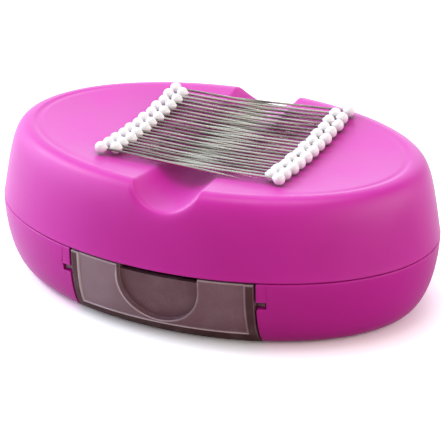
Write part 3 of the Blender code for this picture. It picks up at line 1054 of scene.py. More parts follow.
@dataclass(frozen=True)
class CaseForm:
    """The oval form of the case, from which its skins and the drawer front are drawn."""

    half_length: float
    half_width: float
    crest: float
    seam: float = 17.8 * MM
    seam_gap: float = 0.3 * MM
    wall: float = 2.0 * MM
    floor: float = 1.8 * MM
    shoulder_inset: float = 7.7 * MM
    base_inset: float = 7.5 * MM
    dish_depth: float = 2.0 * MM
    channel_radius: float = 8.8 * MM
    channel_depth: float = 4.9 * MM
    tongue_height: float = 1.2 * MM
    rebate: float = 1.1 * MM
    clearance: float = 0.3 * MM

    @property
    def shoulder(self) -> Rows:
        """Control points (inset, rise over the seam) of the upper shell's outside.

        Returns:
            The points.
        """
        rise = self.crest - self.seam
        return [(0, 0), (0.125 * rise, 0.80 * rise), (0.38 * self.shoulder_inset, rise),
                (self.shoulder_inset, rise)]

    @property
    def skirt(self) -> Rows:
        """Control points (inset, depth under the seam) of the base shell's outside."""
        return [(0, 0), (0.1 * MM, 0.38 * self.seam), (0.3 * self.base_inset, self.seam),
                (self.base_inset, self.seam)]

    @property
    def channel_axis(self) -> float:
        """Height of the finger channel's axis."""
        return self.crest - self.channel_depth + self.channel_radius

    @staticmethod
    def along(curve: Rows, t: np.ndarray) -> np.ndarray:
        """Points of a cubic curve.

        Args:
            curve: Its four control points.
            t: Shares of the way along it.

        Returns:
            One (inset, height) row for each share.
        """
        weights = np.stack([(1 - t) ** 3, 3 * (1 - t) ** 2 * t, 3 * (1 - t) * t * t, t ** 3],
                           axis=1)
        return weights @ np.array(curve)

    def offset(self, curve: Rows, t: np.ndarray, depth: Union[float, np.ndarray]) -> np.ndarray:
        """Points of a cubic curve, moved into the case along its normal.

        Args:
            curve: Its four control points.
            t: Shares of the way along it.
            depth: How far each point moves.

        Returns:
            One (inset, height) row for each share.
        """
        way = self.along(curve, np.minimum(t + 0.005, 1)) - self.along(curve,
                                                                       np.maximum(t - 0.005, 0))
        way /= np.linalg.norm(way, axis=1)[:, None]
        return self.along(curve, t) + np.stack([way[:, 1], -way[:, 0]], axis=1) * np.reshape(depth,
                                                                                             (-1,
                                                                                              1))

    def share_at_depth(self, depth: np.ndarray) -> np.ndarray:
        """How far along the skirt each depth under the seam is."""
        t = np.linspace(0, 1, 2001)
        return np.interp(depth, self.along(self.skirt, t)[:, 1], t)

    def front_y(self, x: float, z: float, inset: float = 0.0) -> float:
        """The base's front surface at (x, z).

        Args:
            x: Place across.
            z: Height.
            inset: How far it is moved into the case.

        Returns:
            Its y.
        """
        depth = min(max(self.seam - z, 0.0), self.seam)
        total = float(self.along(self.skirt, self.share_at_depth(np.array([depth])))[0, 0]) + inset
        share = 1 - (x / (self.half_length - total)) ** 2
        return -(self.half_width - total) * math.sqrt(max(0.0, share))

    def top_z(self, x: float, y: float) -> float:
        """Height of the top at (x, y), with the channel in it.

        Args:
            x: Place across.
            y: Place from front to back.

        Returns:
            The height.
        """
        a, b = self.half_length - self.shoulder_inset, self.half_width - self.shoulder_inset
        dish = self.crest - self.dish_depth * (1 - min((x / a) ** 2 + (y / b) ** 2, 1.0))
        inside = self.channel_radius ** 2 - x * x
        return min(dish, self.channel_axis - math.sqrt(inside)) if inside > 0 else dish


@dataclass(frozen=True)
class Oval:
    """Columns round the oval. They stay at fixed x up to a reach, and are drawn in with the
    outline beyond it."""

    form: CaseForm
    stations: np.ndarray
    reach: float

    @classmethod
    def spaced(cls, form: CaseForm, near: Sequence[float], end_steps: int) -> "Oval":
        """Spaces the columns.

        Args:
            form: The case.
            near: Fixed columns from 0 to the reach, in order.
            end_steps: Steps from the reach to the end, even in angle.

        Returns:
            The oval.
        """
        reach = near[-1]
        start = math.acos(reach / form.half_length)
        angles = [start * (1 - i / end_steps) for i in range(1, end_steps + 1)]
        ends = [form.half_length * math.cos(angle) for angle in angles]
        return cls(form, np.array(list(near) + ends), reach)

    @property
    def columns(self) -> np.ndarray:
        """Signed stations from the right end to the left end."""
        return np.concatenate([self.stations[::-1], -self.stations[1:]])

    def columns_at(self, inset: float) -> np.ndarray:
        """Where the signed columns stand on the outline at this inset.

        Args:
            inset: How far the outline is drawn in.

        Returns:
            The x of each column.
        """
        a = self.form.half_length - inset
        size = np.abs(self.columns)
        full = self.form.half_length - self.reach
        drawn = self.reach + (size - self.reach) * (a - self.reach) / full
        return np.sign(self.columns) * np.where(size <= self.reach, size, drawn)

    def ring(self, inset: float, z: float) -> np.ndarray:
        """The outline at this inset and height, anticlockwise from +X, as points.

        Args:
            inset: How far the outline is drawn in.
            z: Its height.

        Returns:
            One (x, y, z) row for each point.
        """
        a, b = self.form.half_length - inset, self.form.half_width - inset
        x = self.columns_at(inset)
        y = b * np.sqrt(np.maximum(0, 1 - (x / a) ** 2))
        back = np.stack([x, y, np.full_like(x, z)], axis=1)
        front = back[1:-1][::-1] * (1, -1, 1)
        return np.concatenate([back, front])


class Skin:
    """A mesh laid out as rings round the oval, with a flat lid of columns inside the last ring."""

    def __init__(self, oval: Oval) -> None:
        """Starts with no rings.

        Args:
            oval: The columns that every ring has.
        """
        self.oval = oval
        self.points: list[np.ndarray] = []
        self.faces: list[tuple[int, ...]] = []
        self.tags: list[float] = []
        self.size = len(oval.ring(0.0, 0.0))

    def count(self) -> int:
        """How many points there are so far."""
        return sum(len(p) for p in self.points)

    def put(self, points: np.ndarray, tag: float) -> int:
        """Adds points.

        Args:
            points: The points.
            tag: The depth of the skin that they belong to.

        Returns:
            The index of the first.
        """
        first = self.count()
        self.points.append(points)
        self.tags += [tag] * len(points)
        return first

    def rings(self, rows: Rows, tag: float, flip: bool, gone: Optional[Gone] = None) -> list[int]:
        """Adds rings and the faces between them.

        Args:
            rows: (inset, height) of each ring, in order.
            tag: The depth of the skin.
            flip: Whether the faces are turned round.
            gone: Says of a face's corners whether it is left out.

        Returns:
            The first index of each ring.
        """
        starts = [self.put(self.oval.ring(inset, z), tag) for inset, z in rows]
        for one, other in zip(starts, starts[1:]):
            self.join(one, other, flip, gone)
        return starts

    def join(self, one: int, other: int, flip: bool, gone: Optional[Gone] = None) -> None:
        """Adds the faces between two rings, which start at these indices.

        Args:
            one: The first index of one ring.
            other: The first index of the other.
            flip: Whether the faces are turned round.
            gone: Says of a face's corners whether it is left out.
        """
        points = np.concatenate(self.points) if gone else None
        for i in range(self.size):
            j = (i + 1) % self.size
            face = (one + i, one + j, other + j, other + i)
            if gone and gone(points[list(face)]):
                continue
            self.faces.append(face[::-1] if flip else face)

    def lid(self, start: int, rows: int, tag: float, flip: bool) -> None:
        """Fills a ring with columns along Y.

        Args:
            start: The ring's first index.
            rows: Steps along each column.
            tag: The depth of the skin.
            flip: Whether the faces are turned round.
        """
        ring = np.concatenate(self.points)[start:start + self.size]
        half = self.size // 2
        columns = [[start]]
        for i in range(1, half):
            rear, near = ring[i], ring[self.size - i]
            shares = np.linspace(0, 1, rows + 1)[1:-1, None]
            inner = self.put(near + (rear - near) * shares, tag)
            columns.append([start + self.size - i] + list(range(inner,
                                                                inner + rows - 1)) + [start + i])
        columns.append([start + half])
        for left, right in zip(columns, columns[1:]):
            if len(left) == len(right):
                found = [(left[i], left[i + 1], right[i + 1], right[i]) for i in range(rows)]
            elif len(left) == 1:
                found = [(left[0], right[i + 1], right[i]) for i in range(rows)]
            else:
                found = [(right[0], left[i], left[i + 1]) for i in range(rows)]
            self.faces += [face[::-1] if flip else face for face in found]

    def mesh(self, name: str) -> bpy.types.Mesh:
        """The mesh so far, with the depth of each point's skin as an attribute.

        Args:
            name: The mesh's name.

        Returns:
            The mesh.
        """
        mesh = bpy.data.meshes.new(name)
        mesh.from_pydata(np.concatenate(self.points).tolist(), [], self.faces)
        depth = mesh.attributes.new("skin_depth", "FLOAT", "POINT")
        depth.data.foreach_set("value", np.array(self.tags, np.float32))
        mesh.update()
        return mesh


# ---------------------------------------------------------------- upper shell


class SunkTop:
    """The geometry tree that sinks the dish and the finger channel into a plain domed lid."""

    INPUTS = ("Half Length", "Half Width", "Dish Depth", "Channel Radius", "Channel Axis",
              "Lip Blend", "Crease Depth",
              "Crease Place", "Crease Half", "Edge Roll")

    def __init__(self) -> None:
        """Builds the tree with named inputs for its sizes."""
        graph, given, result = open_group(
            "sunk_top", SHAPE_TREE,
            [("Geometry", SHAPE)] + [(name, FLOAT) for name in self.INPUTS]
            + [("Finish", MATERIAL)], [("Geometry", SHAPE)])
        size = {name: given.outputs[name] for name in self.INPUTS}
        depth = graph.add("GeometryNodeInputNamedAttribute", data_type="FLOAT")
        graph.plug(depth, "Name", "skin_depth")
        position = graph.add("GeometryNodeInputPosition").outputs[0]
        x, y, z = graph.split(position)
        share_x = graph.math("POWER", graph.math("DIVIDE", x, size["Half Length"]), 2.0)
        share_y = graph.math("POWER", graph.math("DIVIDE", y, size["Half Width"]), 2.0)
        share = graph.math("MINIMUM", graph.math("ADD", share_x, share_y), 1.0)
        drop = graph.math("MULTIPLY", graph.math("SUBTRACT", 1.0, share), size["Dish Depth"])
        off = graph.math("SUBTRACT", graph.math("SQRT", graph.math("ADD", share_x, share_y)),
                         size["Crease Place"])
        near = graph.math("MAXIMUM", graph.math("SUBTRACT", 1.0, graph.math(
            "POWER", graph.math("ABSOLUTE", graph.math("DIVIDE", off, size["Crease Half"])), 2.0)),
            0.0)
        crease = graph.math("MULTIPLY", graph.math("POWER", near, 2.0), size["Crease Depth"])
        crease = graph.math("MULTIPLY", crease, graph.span(y, size["Half Width"], 0.0))
        dished = graph.math("SUBTRACT", z, graph.math("ADD", drop, crease))
        radius = graph.math("ADD", size["Channel Radius"], depth.outputs["Attribute"])
        inside = graph.math("SUBTRACT", graph.math("POWER", radius, 2.0),
                            graph.math("POWER", x, 2.0))
        bowl = graph.math("SUBTRACT", size["Channel Axis"],
                          graph.math("SQRT", graph.math("MAXIMUM", inside, 0.0)))
        past = graph.math("MAXIMUM", graph.math("SUBTRACT", graph.math("ABSOLUTE", x), radius), 0.0)
        channel = graph.math("MULTIPLY_ADD", past, 4.0, bowl)
        edge = graph.span(graph.math("ABSOLUTE", y), size["Half Width"],
                          graph.math("MULTIPLY", size["Half Width"], 1.2))
        blend = graph.math("MULTIPLY", size["Lip Blend"],
                           graph.math("MULTIPLY_ADD", edge, size["Edge Roll"], 1.0))
        level = graph.math("SMOOTH_MIN", dished, channel, blend)
        place = graph.add("ShaderNodeCombineXYZ")
        for socket, value in zip(range(3), (x, y, level)):
            graph.plug(place, socket, value)
        moved = graph.add("GeometryNodeSetPosition")
        graph.plug(moved, "Geometry", given.outputs["Geometry"])
        graph.plug(moved, "Position", place.outputs[0])
        dressed = graph.add("GeometryNodeSetMaterial")
        real = graph.add("GeometryNodeRealizeInstances")
        graph.plug(real, 0, moved.outputs[0])
        graph.plug(dressed, "Geometry", real.outputs[0])
        graph.plug(dressed, "Material", given.outputs["Finish"])
        graph.plug(result, 0, dressed.outputs[0])
        self.tree = graph.tree

    def applied(self, mesh: bpy.types.Mesh, finish: bpy.types.Material,
                **sizes: float) -> bpy.types.Mesh:
        """Runs the tree on a mesh.

        Args:
            mesh: The plain lid.
            finish: Its material.
            **sizes: The inputs by name, with _ for each space.

        Returns:
            The sunk mesh.
        """
        return run_tree(mesh, self.tree, Finish=finish, **sizes)


@dataclass
class UpperShell:
    """The upper half of the case: the domed skin, the magnet pockets, the screw posts and the
    drawer stop."""

    form: CaseForm
    finish: bpy.types.Material
    reach: float = 12.0 * MM
    near_steps: int = 40
    end_steps: int = 56
    shoulder_steps: int = 40
    lid_rows: int = 52
    lip_blend: float = 1.9 * MM
    edge_roll: float = 1.5
    crease_depth: float = 0.17 * MM
    crease_half: float = 0.026
    crease_share: float = 0.985
    rim_round: float = 0.16 * MM
    pocket_rib: float = 1.2 * MM
    stop_setback: float = 14.0 * MM
    stop_thickness: float = 1.5 * MM
    stop_half: float = 5.28 * MM
    stop_hang: float = 2.4 * MM
    rib_step: float = 1.2 * MM
    post_hole: float = 1.3 * MM
    post_radius: float = 3.15 * MM

    def skin(self) -> bpy.types.Mesh:
        """The skin, outside and inside, sunk by the geometry tree.

        Returns:
            The skin.
        """
        form = self.form
        oval = Oval.spaced(form,
                           [self.reach * i / self.near_steps for i in range(self.near_steps + 1)],
                           self.end_steps)
        skin = Skin(oval)
        rim, r = form.seam + form.seam_gap / 2, self.rim_round
        t = np.linspace(0, 1, self.shoulder_steps + 1)
        curve = form.along(form.shoulder, t)
        outside = [(r, rim), (0.3 * r, rim + 0.3 * r), (0.0, rim + r)]
        outside += [(i, form.seam + z) for i, z in curve if form.seam + z > rim + 1.5 * r]
        step = rim + form.tongue_height + form.clearance
        coarse = np.linspace(0, 1, self.shoulder_steps // 2 + 1)
        inside = [(form.rebate, rim), (form.rebate, step), (form.wall, step)]
        inside += [(i, form.seam + z) for i, z in form.offset(form.shoulder, coarse, form.wall)
                   if form.seam + z > step + 0.2 * MM]
        outer = skin.rings(outside, 0.0, False)
        inner = skin.rings(inside, form.wall, True)
        skin.join(outer[0], inner[0], True)
        skin.lid(outer[-1], self.lid_rows, 0.0, False)
        skin.lid(inner[-1], self.lid_rows // 2, form.wall, True)
        return SunkTop().applied(
            skin.mesh("upper_skin"), self.finish,
            Half_Length=form.half_length - form.shoulder_inset,
            Half_Width=form.half_width - form.shoulder_inset, Dish_Depth=form.dish_depth,
            Channel_Radius=form.channel_radius, Channel_Axis=form.channel_axis,
            Lip_Blend=self.lip_blend,
            Crease_Depth=self.crease_depth, Crease_Place=self.crease_share,
            Crease_Half=self.crease_half,
            Edge_Roll=self.edge_roll)

    def rib(self, bm: bmesh.types.BMesh, start: tuple[float, float], end: tuple[float, float],
            low: float,
            thickness: float) -> None:
        """Adds an upright rib that ends inside the top skin.

        Args:
            bm: The bmesh it goes into.
            start: (x, y) of one end of its middle line.
            end: (x, y) of the other end.
            low: Height of its lower edge.
            thickness: Its thickness.
        """
        line = Vector((end[0] - start[0], end[1] - start[1]))
        side = Vector((-line.y, line.x)).normalized() * thickness / 2
        steps = max(2, round(line.length / self.rib_step))
        loops = []
        for i in range(steps + 1):
            middle = Vector(start) + line * i / steps
            loop = []
            for edge in (middle + side, middle - side):
                top = self.form.top_z(edge.x, edge.y) - self.form.wall / 2
                loop.append([(edge.x, edge.y, low), (edge.x, edge.y, top)])
            loops.append([bm.verts.new(p) for p in (loop[0][0], loop[0][1], loop[1][1],
                                                    loop[1][0])])
        for one, other in zip(loops, loops[1:]):
            band(bm, one, other)
        bm.faces.new(loops[0])
        bm.faces.new(loops[-1])

    def features(self, bm: bmesh.types.BMesh) -> None:
        """Adds the pockets, the posts and the stop under the skin.

        Args:
            bm: The bmesh they go into.
        """
        form = self.form
        stop_y = -form.half_width + self.stop_setback + self.stop_thickness / 2
        self.rib(bm, (-self.stop_half, stop_y), (self.stop_half, stop_y),
                 form.seam - self.stop_hang, self.stop_thickness)
        for node in ("magnet_left", "magnet_right"):
            low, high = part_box(node)
            gap = form.clearance + self.pocket_rib / 2
            x0, x1, y0, y1 = low.x - gap, high.x + gap, low.y - gap, high.y + gap
            over = self.pocket_rib / 2
            for one, other in (((x0, y0 - over), (x0, y1 + over)),
                               ((x1, y0 - over), (x1, y1 + over)),
                               ((x0 + over, y0), (x1 - over, y0)),
                               ((x0 + over, y1), (x1 - over, y1))):
                self.rib(bm, one, other, low.z, self.pocket_rib)
        for number in range(1, 5):
            x, y = axis_of(f"case_screw_{number}")
            hole, outer = self.post_hole, self.post_radius
            foot, top = form.seam + form.seam_gap, form.top_z(x, y) - form.wall / 2
            turned(bm, [(hole, foot), (outer, foot), (outer, top), (hole, top)], (x, y))

    def build(self) -> bpy.types.Object:
        """Builds and dresses the shell.

        Returns:
            The piece.
        """
        bm = bmesh.new()
        self.features(bm)
        bmesh.ops.recalc_face_normals(bm, faces=bm.faces[:])
        bm.from_mesh(self.skin())
        mesh = bpy.data.meshes.new("upper_case")
        bm.to_mesh(mesh)
        bm.free()
        piece = piece_from("upper_case", mesh, self.finish)
        return settle(piece, "case", "case_pink", "upper_shell")


# ---------------------------------------------------------------- base shell


@dataclass
class BaseShell:
    """The lower half of the case: the skirt with the drawer opening, the floor, the bay and the
    screw posts."""

    form: CaseForm
    finish: bpy.types.Material
    opening_half: float = 23.2 * MM
    notch_half: float = 25.38 * MM
    ledge_half: float = 22.9 * MM
    bay_wall: float = 1.6 * MM
    bay_rear: float = 24.8 * MM
    rail_z: float = 12.0 * MM
    rail_slot: float = 1.9 * MM
    ledge_thickness: float = 1.4 * MM
    lip_inset: float = 2.7 * MM
    corner_round: float = 0.55 * MM
    witness: float = 0.12 * MM
    rim_round: float = 0.16 * MM
    well_radius: float = 2.8 * MM
    boss_radius: float = 4.0 * MM
    hole_radius: float = 1.55 * MM
    seat_z: float = 8.0 * MM
    bay_top: float = 0.6 * MM
    level_step: float = 1.5 * MM
    foot_rise: float = 0.35 * MM
    head_gap: float = 0.05 * MM
    well_gap: float = 0.06 * MM
    edge_round: float = 0.18 * MM
    edge_angle: float = 62.0
    end_steps: int = 44
    lid_rows: int = 30
    touch: float = 1e-6

    @property
    def slot_span(self) -> tuple[float, float]:
        """Heights of the lower and the upper edge of the rail slot."""
        return self.rail_z - self.rail_slot / 2, self.rail_z + self.rail_slot / 2

    def oval(self) -> Oval:
        """Columns with edges for the opening, the notches and the witness lines.

        Returns:
            The oval.
        """
        near = [1.0 * MM * i for i in range(23)]
        near += [22.7 * MM, self.opening_half, self.opening_half + 0.1 * MM,
                 self.opening_half + 0.25 * MM,
                 self.opening_half + self.corner_round, 24.5 * MM, self.notch_half - self.witness,
                 self.notch_half,
                 self.notch_half + self.witness, 26.4 * MM]
        return Oval.spaced(self.form, near, self.end_steps)

    def rows(self) -> tuple[Rows, Rows]:
        """(inset, height) rows of the outside and of the inside, from the floor's front lip up to
        the tongue.

        Returns:
            The outside's rows and the inside's rows.
        """
        form = self.form
        low, high = self.slot_span
        rim = form.seam - form.seam_gap / 2
        fixed = [low - self.corner_round, low - 0.25 * MM, low - 0.1 * MM, low, high]
        levels = [rim - self.rim_round - (rim - self.rim_round - high) * i / 6 for i in range(7)]
        levels += [low + (high - low) * 0.5] + fixed
        levels += [(low - self.corner_round) * (1 - i / 22) ** 1.5 for i in range(1, 23)]
        heights = sorted(set(round(z, 7) for z in levels))
        t = form.share_at_depth(form.seam - np.array(heights))
        t[0] = 1.0
        outside = [(float(i), form.seam - float(d)) for i, d in form.along(form.skirt, t)]
        depth = form.wall + (form.floor - form.wall) * t ** 2
        inside = [(float(i), max(form.seam - float(d), form.floor)) for i,
                  d in form.offset(form.skirt, t, depth)]
        lip = form.base_inset + self.lip_inset
        outside.insert(0, (lip, 0.0))
        inside.insert(0, (max(lip, inside[0][0] + 0.5 * MM), form.floor))
        r, tongue = self.rim_round, rim + form.tongue_height
        gap = form.rebate + form.clearance
        outside += [(0.3 * r, rim - 0.3 * r), (r, rim), (gap, rim), (gap, tongue)]
        inside += [(form.wall, rim - 0.1 * MM), (form.wall, rim), (form.wall, rim + 0.2 * MM),
                   (form.wall, tongue)]
        return outside, inside

    def open_here(self, corners: np.ndarray) -> bool:
        """Whether a face lies in the drawer opening or in a rail notch.

        Args:
            corners: The face's corners, one row each.

        Returns:
            Whether it is left out.
        """
        middle = corners.mean(axis=0)
        if middle[1] > 0:
            return False
        low, high = self.slot_span
        if abs(middle[0]) < self.opening_half:
            return True
        return abs(middle[0]) < self.notch_half and low < middle[2] < high

    def skin(self) -> bpy.types.Mesh:
        """The skirt and the floor, with the opening and its notches left out and their edges
        closed.

        Returns:
            The skin.
        """
        form, oval = self.form, self.oval()
        skin = Skin(oval)
        outside, inside = self.rows()
        outer = skin.rings(outside, 0.0, False, self.open_here)
        shift = skin.count()
        flags = len(skin.faces)
        kept = list(skin.faces)
        inner = [skin.put(oval.ring(i, z), form.wall) for i, z in inside]
        skin.faces += [tuple(v + shift for v in reversed(face)) for face in kept]
        skin.lid(outer[0], self.lid_rows, 0.0, True)
        skin.lid(inner[0], self.lid_rows, form.wall, False)
        sheet = set()
        for face in skin.faces[:flags]:
            for a, b in zip(face, face[1:] + face[:1]):
                sheet.add((a, b))
        lip = set()
        for face in skin.faces[2 * flags:]:
            for a, b in zip(face, face[1:] + face[:1]):
                if a < shift and b < shift:
                    lip.add((a, b))
        edges = sheet | lip
        for a, b in sorted(edges):
            if (b, a) not in edges:
                skin.faces.append((b, a, a + shift, b + shift))
        self.shape_front(skin)
        return skin.mesh("base_skin")

    def shape_front(self, skin: Skin) -> None:
        """Rounds the lower corner of each rail notch and presses in the witness line over it.

        Args:
            skin: The skin, changed in place.
        """
        low, high = self.slot_span
        centre = np.array([self.opening_half + self.corner_round, low - self.corner_round])
        for points in skin.points:
            for point in points:
                across = abs(point[0])
                near, away = self.opening_half - self.touch, self.notch_half + self.touch
                if point[1] > 0 or not near <= across <= away:
                    continue
                reach = centre - (across, point[2])
                reach[1] = -reach[1]
                beside = 0 <= reach[0] <= self.corner_round + self.touch
                below = 0 < reach[1] <= self.corner_round + 0.03 * MM
                on_notch = abs(across - self.notch_half) < self.touch
                if beside and below:
                    scale = max(reach) / float(np.hypot(*reach))
                    point[0] = math.copysign(centre[0] - reach[0] * scale, point[0])
                    point[2] = centre[1] + reach[1] * scale
                elif on_notch and point[2] > high + 10 * self.touch:
                    point[1] += self.witness

    def bay(self, bm: bmesh.types.BMesh) -> None:
        """Adds the bay's walls, its rail ledges and its rear wall.

        Args:
            bm: The bmesh they go into.
        """
        form = self.form
        top = form.seam - self.bay_top
        slot, thick = self.rail_slot / 2, self.ledge_thickness
        spans = [(self.notch_half, self.notch_half + self.bay_wall, form.floor / 2, top),
                 (self.ledge_half, self.notch_half + 0.4 * MM, self.rail_z + slot,
                  self.rail_z + slot + thick),
                 (self.ledge_half, self.notch_half + 0.4 * MM, self.rail_z - slot - thick,
                  self.rail_z - slot)]
        for side in Side:
            for near, away, low, high in spans:
                levels = np.linspace(low, high, max(2, round((high - low) / self.level_step) + 1))
                loops = []
                for z in levels:
                    xs = (side.value * near, side.value * away)
                    front = [(x, form.front_y(x, float(z), form.wall * 0.6), float(z)) for x in xs]
                    back = [(x, self.bay_rear + 0.5 * MM, float(z)) for x in reversed(xs)]
                    loops.append([bm.verts.new(p) for p in front + back])
                for one, other in zip(loops, loops[1:]):
                    band(bm, one, other)
                bm.faces.new(loops[0])
                bm.faces.new(loops[-1])
        reach = self.notch_half + self.bay_wall
        low = Vector((-reach, self.bay_rear, form.floor / 2))
        high = Vector((reach, self.bay_rear + self.bay_wall, top))
        add_box(bm, low, high)

    def posts(self, bm: bmesh.types.BMesh) -> list[Solid]:
        """Adds the screw posts, and returns a cutter for the hole in the floor under each.

        Args:
            bm: The bmesh they go into.

        Returns:
            The cutters.
        """
        holes = []
        for number in range(1, 5):
            x, y = axis_of(f"case_screw_{number}")
            seat, foot, head = self.seat_z, self.foot_rise, self.form.seam - self.head_gap
            turned(bm, [(self.well_radius, foot), (self.boss_radius, foot),
                        (self.boss_radius, head),
                        (self.hole_radius, head), (self.hole_radius, seat),
                        (self.well_radius, seat)], (x, y))
            holes.append(post(f"floor_hole_{number}", x, y, -FAR, 3 * MM,
                              self.well_radius + self.well_gap))
        return holes

    def build(self) -> bpy.types.Object:
        """Builds and dresses the shell.

        Returns:
            The piece.
        """
        bm = bmesh.new()
        self.bay(bm)
        holes = self.posts(bm)
        bmesh.ops.recalc_face_normals(bm, faces=bm.faces[:])
        skin = bmesh.new()
        skin.from_mesh(self.skin())
        floor = Solid("base_skin", skin)
        bevel = floor.object.modifiers.new("edge_round", "BEVEL")
        bevel.width, bevel.segments, bevel.limit_method = self.edge_round, 2, "ANGLE"
        bevel.angle_limit = math.radians(self.edge_angle)
        bm.from_mesh(drop_flaps(floor.with_shape(Cut.REMOVE, *holes).mesh()))
        mesh = bpy.data.meshes.new("base_case")
        bm.to_mesh(mesh)
        bm.free()
        piece = piece_from("base_case", mesh, self.finish)
        return settle(piece, "case", "case_pink", "base_shell")


# ---------------------------------------------------------------- drawer


@dataclass
class Drawer:
    """The smoky tray: a bowed front with a finger recess, a box behind it and a rail on each
    side."""

    form: CaseForm
    finish: bpy.types.Material
    half: float = 22.6 * MM
    tray_wall: float = 1.8 * MM
    tray_floor: float = 1.5 * MM
    fascia: float = 1.8 * MM
    back: float = 24.5 * MM
    recess_radius: float = 10.0 * MM
    recess_drop: float = 3.4 * MM
    slot_height: float = 2.0 * MM
    panel_half: float = 20.7 * MM
    panel_bottom: float = 3.6 * MM
    panel_step: float = 0.3 * MM
    rail_reach: float = 2.3 * MM
    rail_thickness: float = 0.8 * MM
    rail_z: float = 12.0 * MM
    rail_root: float = 0.5 * MM
    rail_setback: float = 0.6 * MM
    top_gap: float = 0.35 * MM
    rear_drop: float = 0.9 * MM
    fascia_root: float = 1.6 * MM
    crease: float = 28.0

    def surface(self, inset: float) -> Surface:
        """The front surface moved in by an inset, as a function of (x, z)."""
        return lambda x, z: self.form.front_y(x, z, inset)

    def recess(self) -> Solid:
        """The finger recess: round below, open at the top.

        Returns:
            The shape to cut from the front.
        """
        form, radius = self.form, self.recess_radius
        centre = form.seam - self.recess_drop
        block = curved_block("recess_depth", (radius + 1 * MM,) * 2,
                             (centre - radius - 1 * MM,) * 2, form.seam + 1 * MM,
                             lambda x, z: -FAR, self.surface(self.fascia), columns=30)
        arc = [(radius * math.cos(math.pi * i / 64),
                centre - radius * math.sin(math.pi * i / 64)) for i in range(65)]
        shape = prism("recess_outline", arc + [(-radius, form.seam + FAR),
                                               (radius, form.seam + FAR)])
        return block.with_shape(Cut.KEEP, shape)

    def solid(self) -> Solid:
        """The drawer as one closed shape.

        Returns:
            The shape.
        """
        form, high = self.form, self.form.seam + FAR
        top = form.seam - self.top_gap
        tray = curved_block("drawer_tray", (self.half,) * 2, (form.clearance,) * 2, top,
                            self.surface(0.0),
                            lambda x, z: self.back)
        under = curved_block("under_tray", (self.half + 1 * MM,) * 2, (-1 * MM,) * 2,
                             form.floor + form.clearance,
                             self.surface(self.fascia + 1.2 * form.clearance), lambda x, z: FAR,
                             rows=6)
        room = curved_block("tray_room", (self.half - self.tray_wall,) * 2,
                            (form.floor + form.clearance + self.tray_floor,) * 2,
                            form.seam + 1 * MM,
                            self.surface(self.fascia + self.fascia_root), lambda x,
                            z: self.back - self.tray_wall)
        step, out = self.panel_step, 1 * MM
        panel = curved_block("panel_step", (self.panel_half + out, self.panel_half - step),
                             (self.panel_bottom - out, self.panel_bottom + step),
                             form.seam + 1 * MM,
                             self.surface(-out), self.surface(step))
        slot = self.recess_radius - 0.2 * MM
        finger = box("finger_slot", (-slot, -FAR, form.seam - self.slot_height),
                     (slot, -form.half_width * 0.6, high))
        rear = box("rear_cut", (-FAR, 0, form.seam - self.rear_drop), (FAR, FAR, high))
        tray.with_shape(Cut.REMOVE, under, room, panel, self.recess(), finger, rear)
        for side in Side:
            ends = sorted((side.value * (self.half - self.rail_root),
                           side.value * (self.half + self.rail_reach)))
            front = form.front_y(self.half + self.rail_reach, self.rail_z, self.rail_setback)
            rail = box(f"rail_{side.name.lower()}",
                       (ends[0], front, self.rail_z - self.rail_thickness / 2),
                       (ends[1], self.back - 2 * MM, self.rail_z + self.rail_thickness / 2))
            tray.with_shape(Cut.ADD, rail)
        return tray

    def mark_front(self, mesh: bpy.types.Mesh) -> None:
        """Marks the faces of the front surface, where the material paints a darker band of shade
        for the walls behind it.

        Args:
            mesh: The drawer's mesh, changed in place.
        """
        front = mesh.attributes.new("front", "FLOAT", "FACE")
        for face, mark in zip(mesh.polygons, front.data):
            x, y, z = face.center
            near = abs(y - self.form.front_y(x, z)) < self.panel_step + 0.25 * MM
            mark.value = 1.0 if near and face.normal.y < -0.5 else 0.0

    def build(self) -> bpy.types.Object:
        """Builds and dresses the drawer.

        Returns:
            The piece.
        """
        mesh = self.solid().mesh()
        self.mark_front(mesh)
        piece = piece_from("drawer_tray", mesh, self.finish, crease=self.crease)
        return settle(piece, "drawer", "drawer_smoke", "drawer")


# ---------------------------------------------------------------- magnets and screws


@dataclass
class Magnets:
    """Two ferrite bars with ground, slightly rounded edges."""

    finish: bpy.types.Material
    edge: float = 0.4 * MM

    def build(self) -> list[bpy.types.Object]:
        """Builds and dresses both bars.

        Returns:
            The bars.
        """
        made = []
        for node in ("magnet_left", "magnet_right"):
            bar = box(node + "_bar", *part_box(node))
            bevel = bar.object.modifiers.new("ground_edge", "BEVEL")
            bevel.width, bevel.segments = self.edge, 3
            piece = piece_from(node + "_bar", bar.mesh(), self.finish)
            made.append(settle(piece, "case", "magnet_ferrite", node))
        return made


@dataclass
class Screws:
    """The four case screws, which keep their machined form."""

    finish: bpy.types.Material

    def build(self, nodes: dict[str, bpy.types.Object]) -> None:
        """Dresses the screws of the fixed frame.

        Args:
            nodes: The nodes of the fixed frame by name.
        """
        for number in range(1, 5):
            screw = nodes[f"case_screw_{number}"]
            for slot in screw.material_slots:
                slot.material = self.finish


# ---------------------------------------------------------------- pins


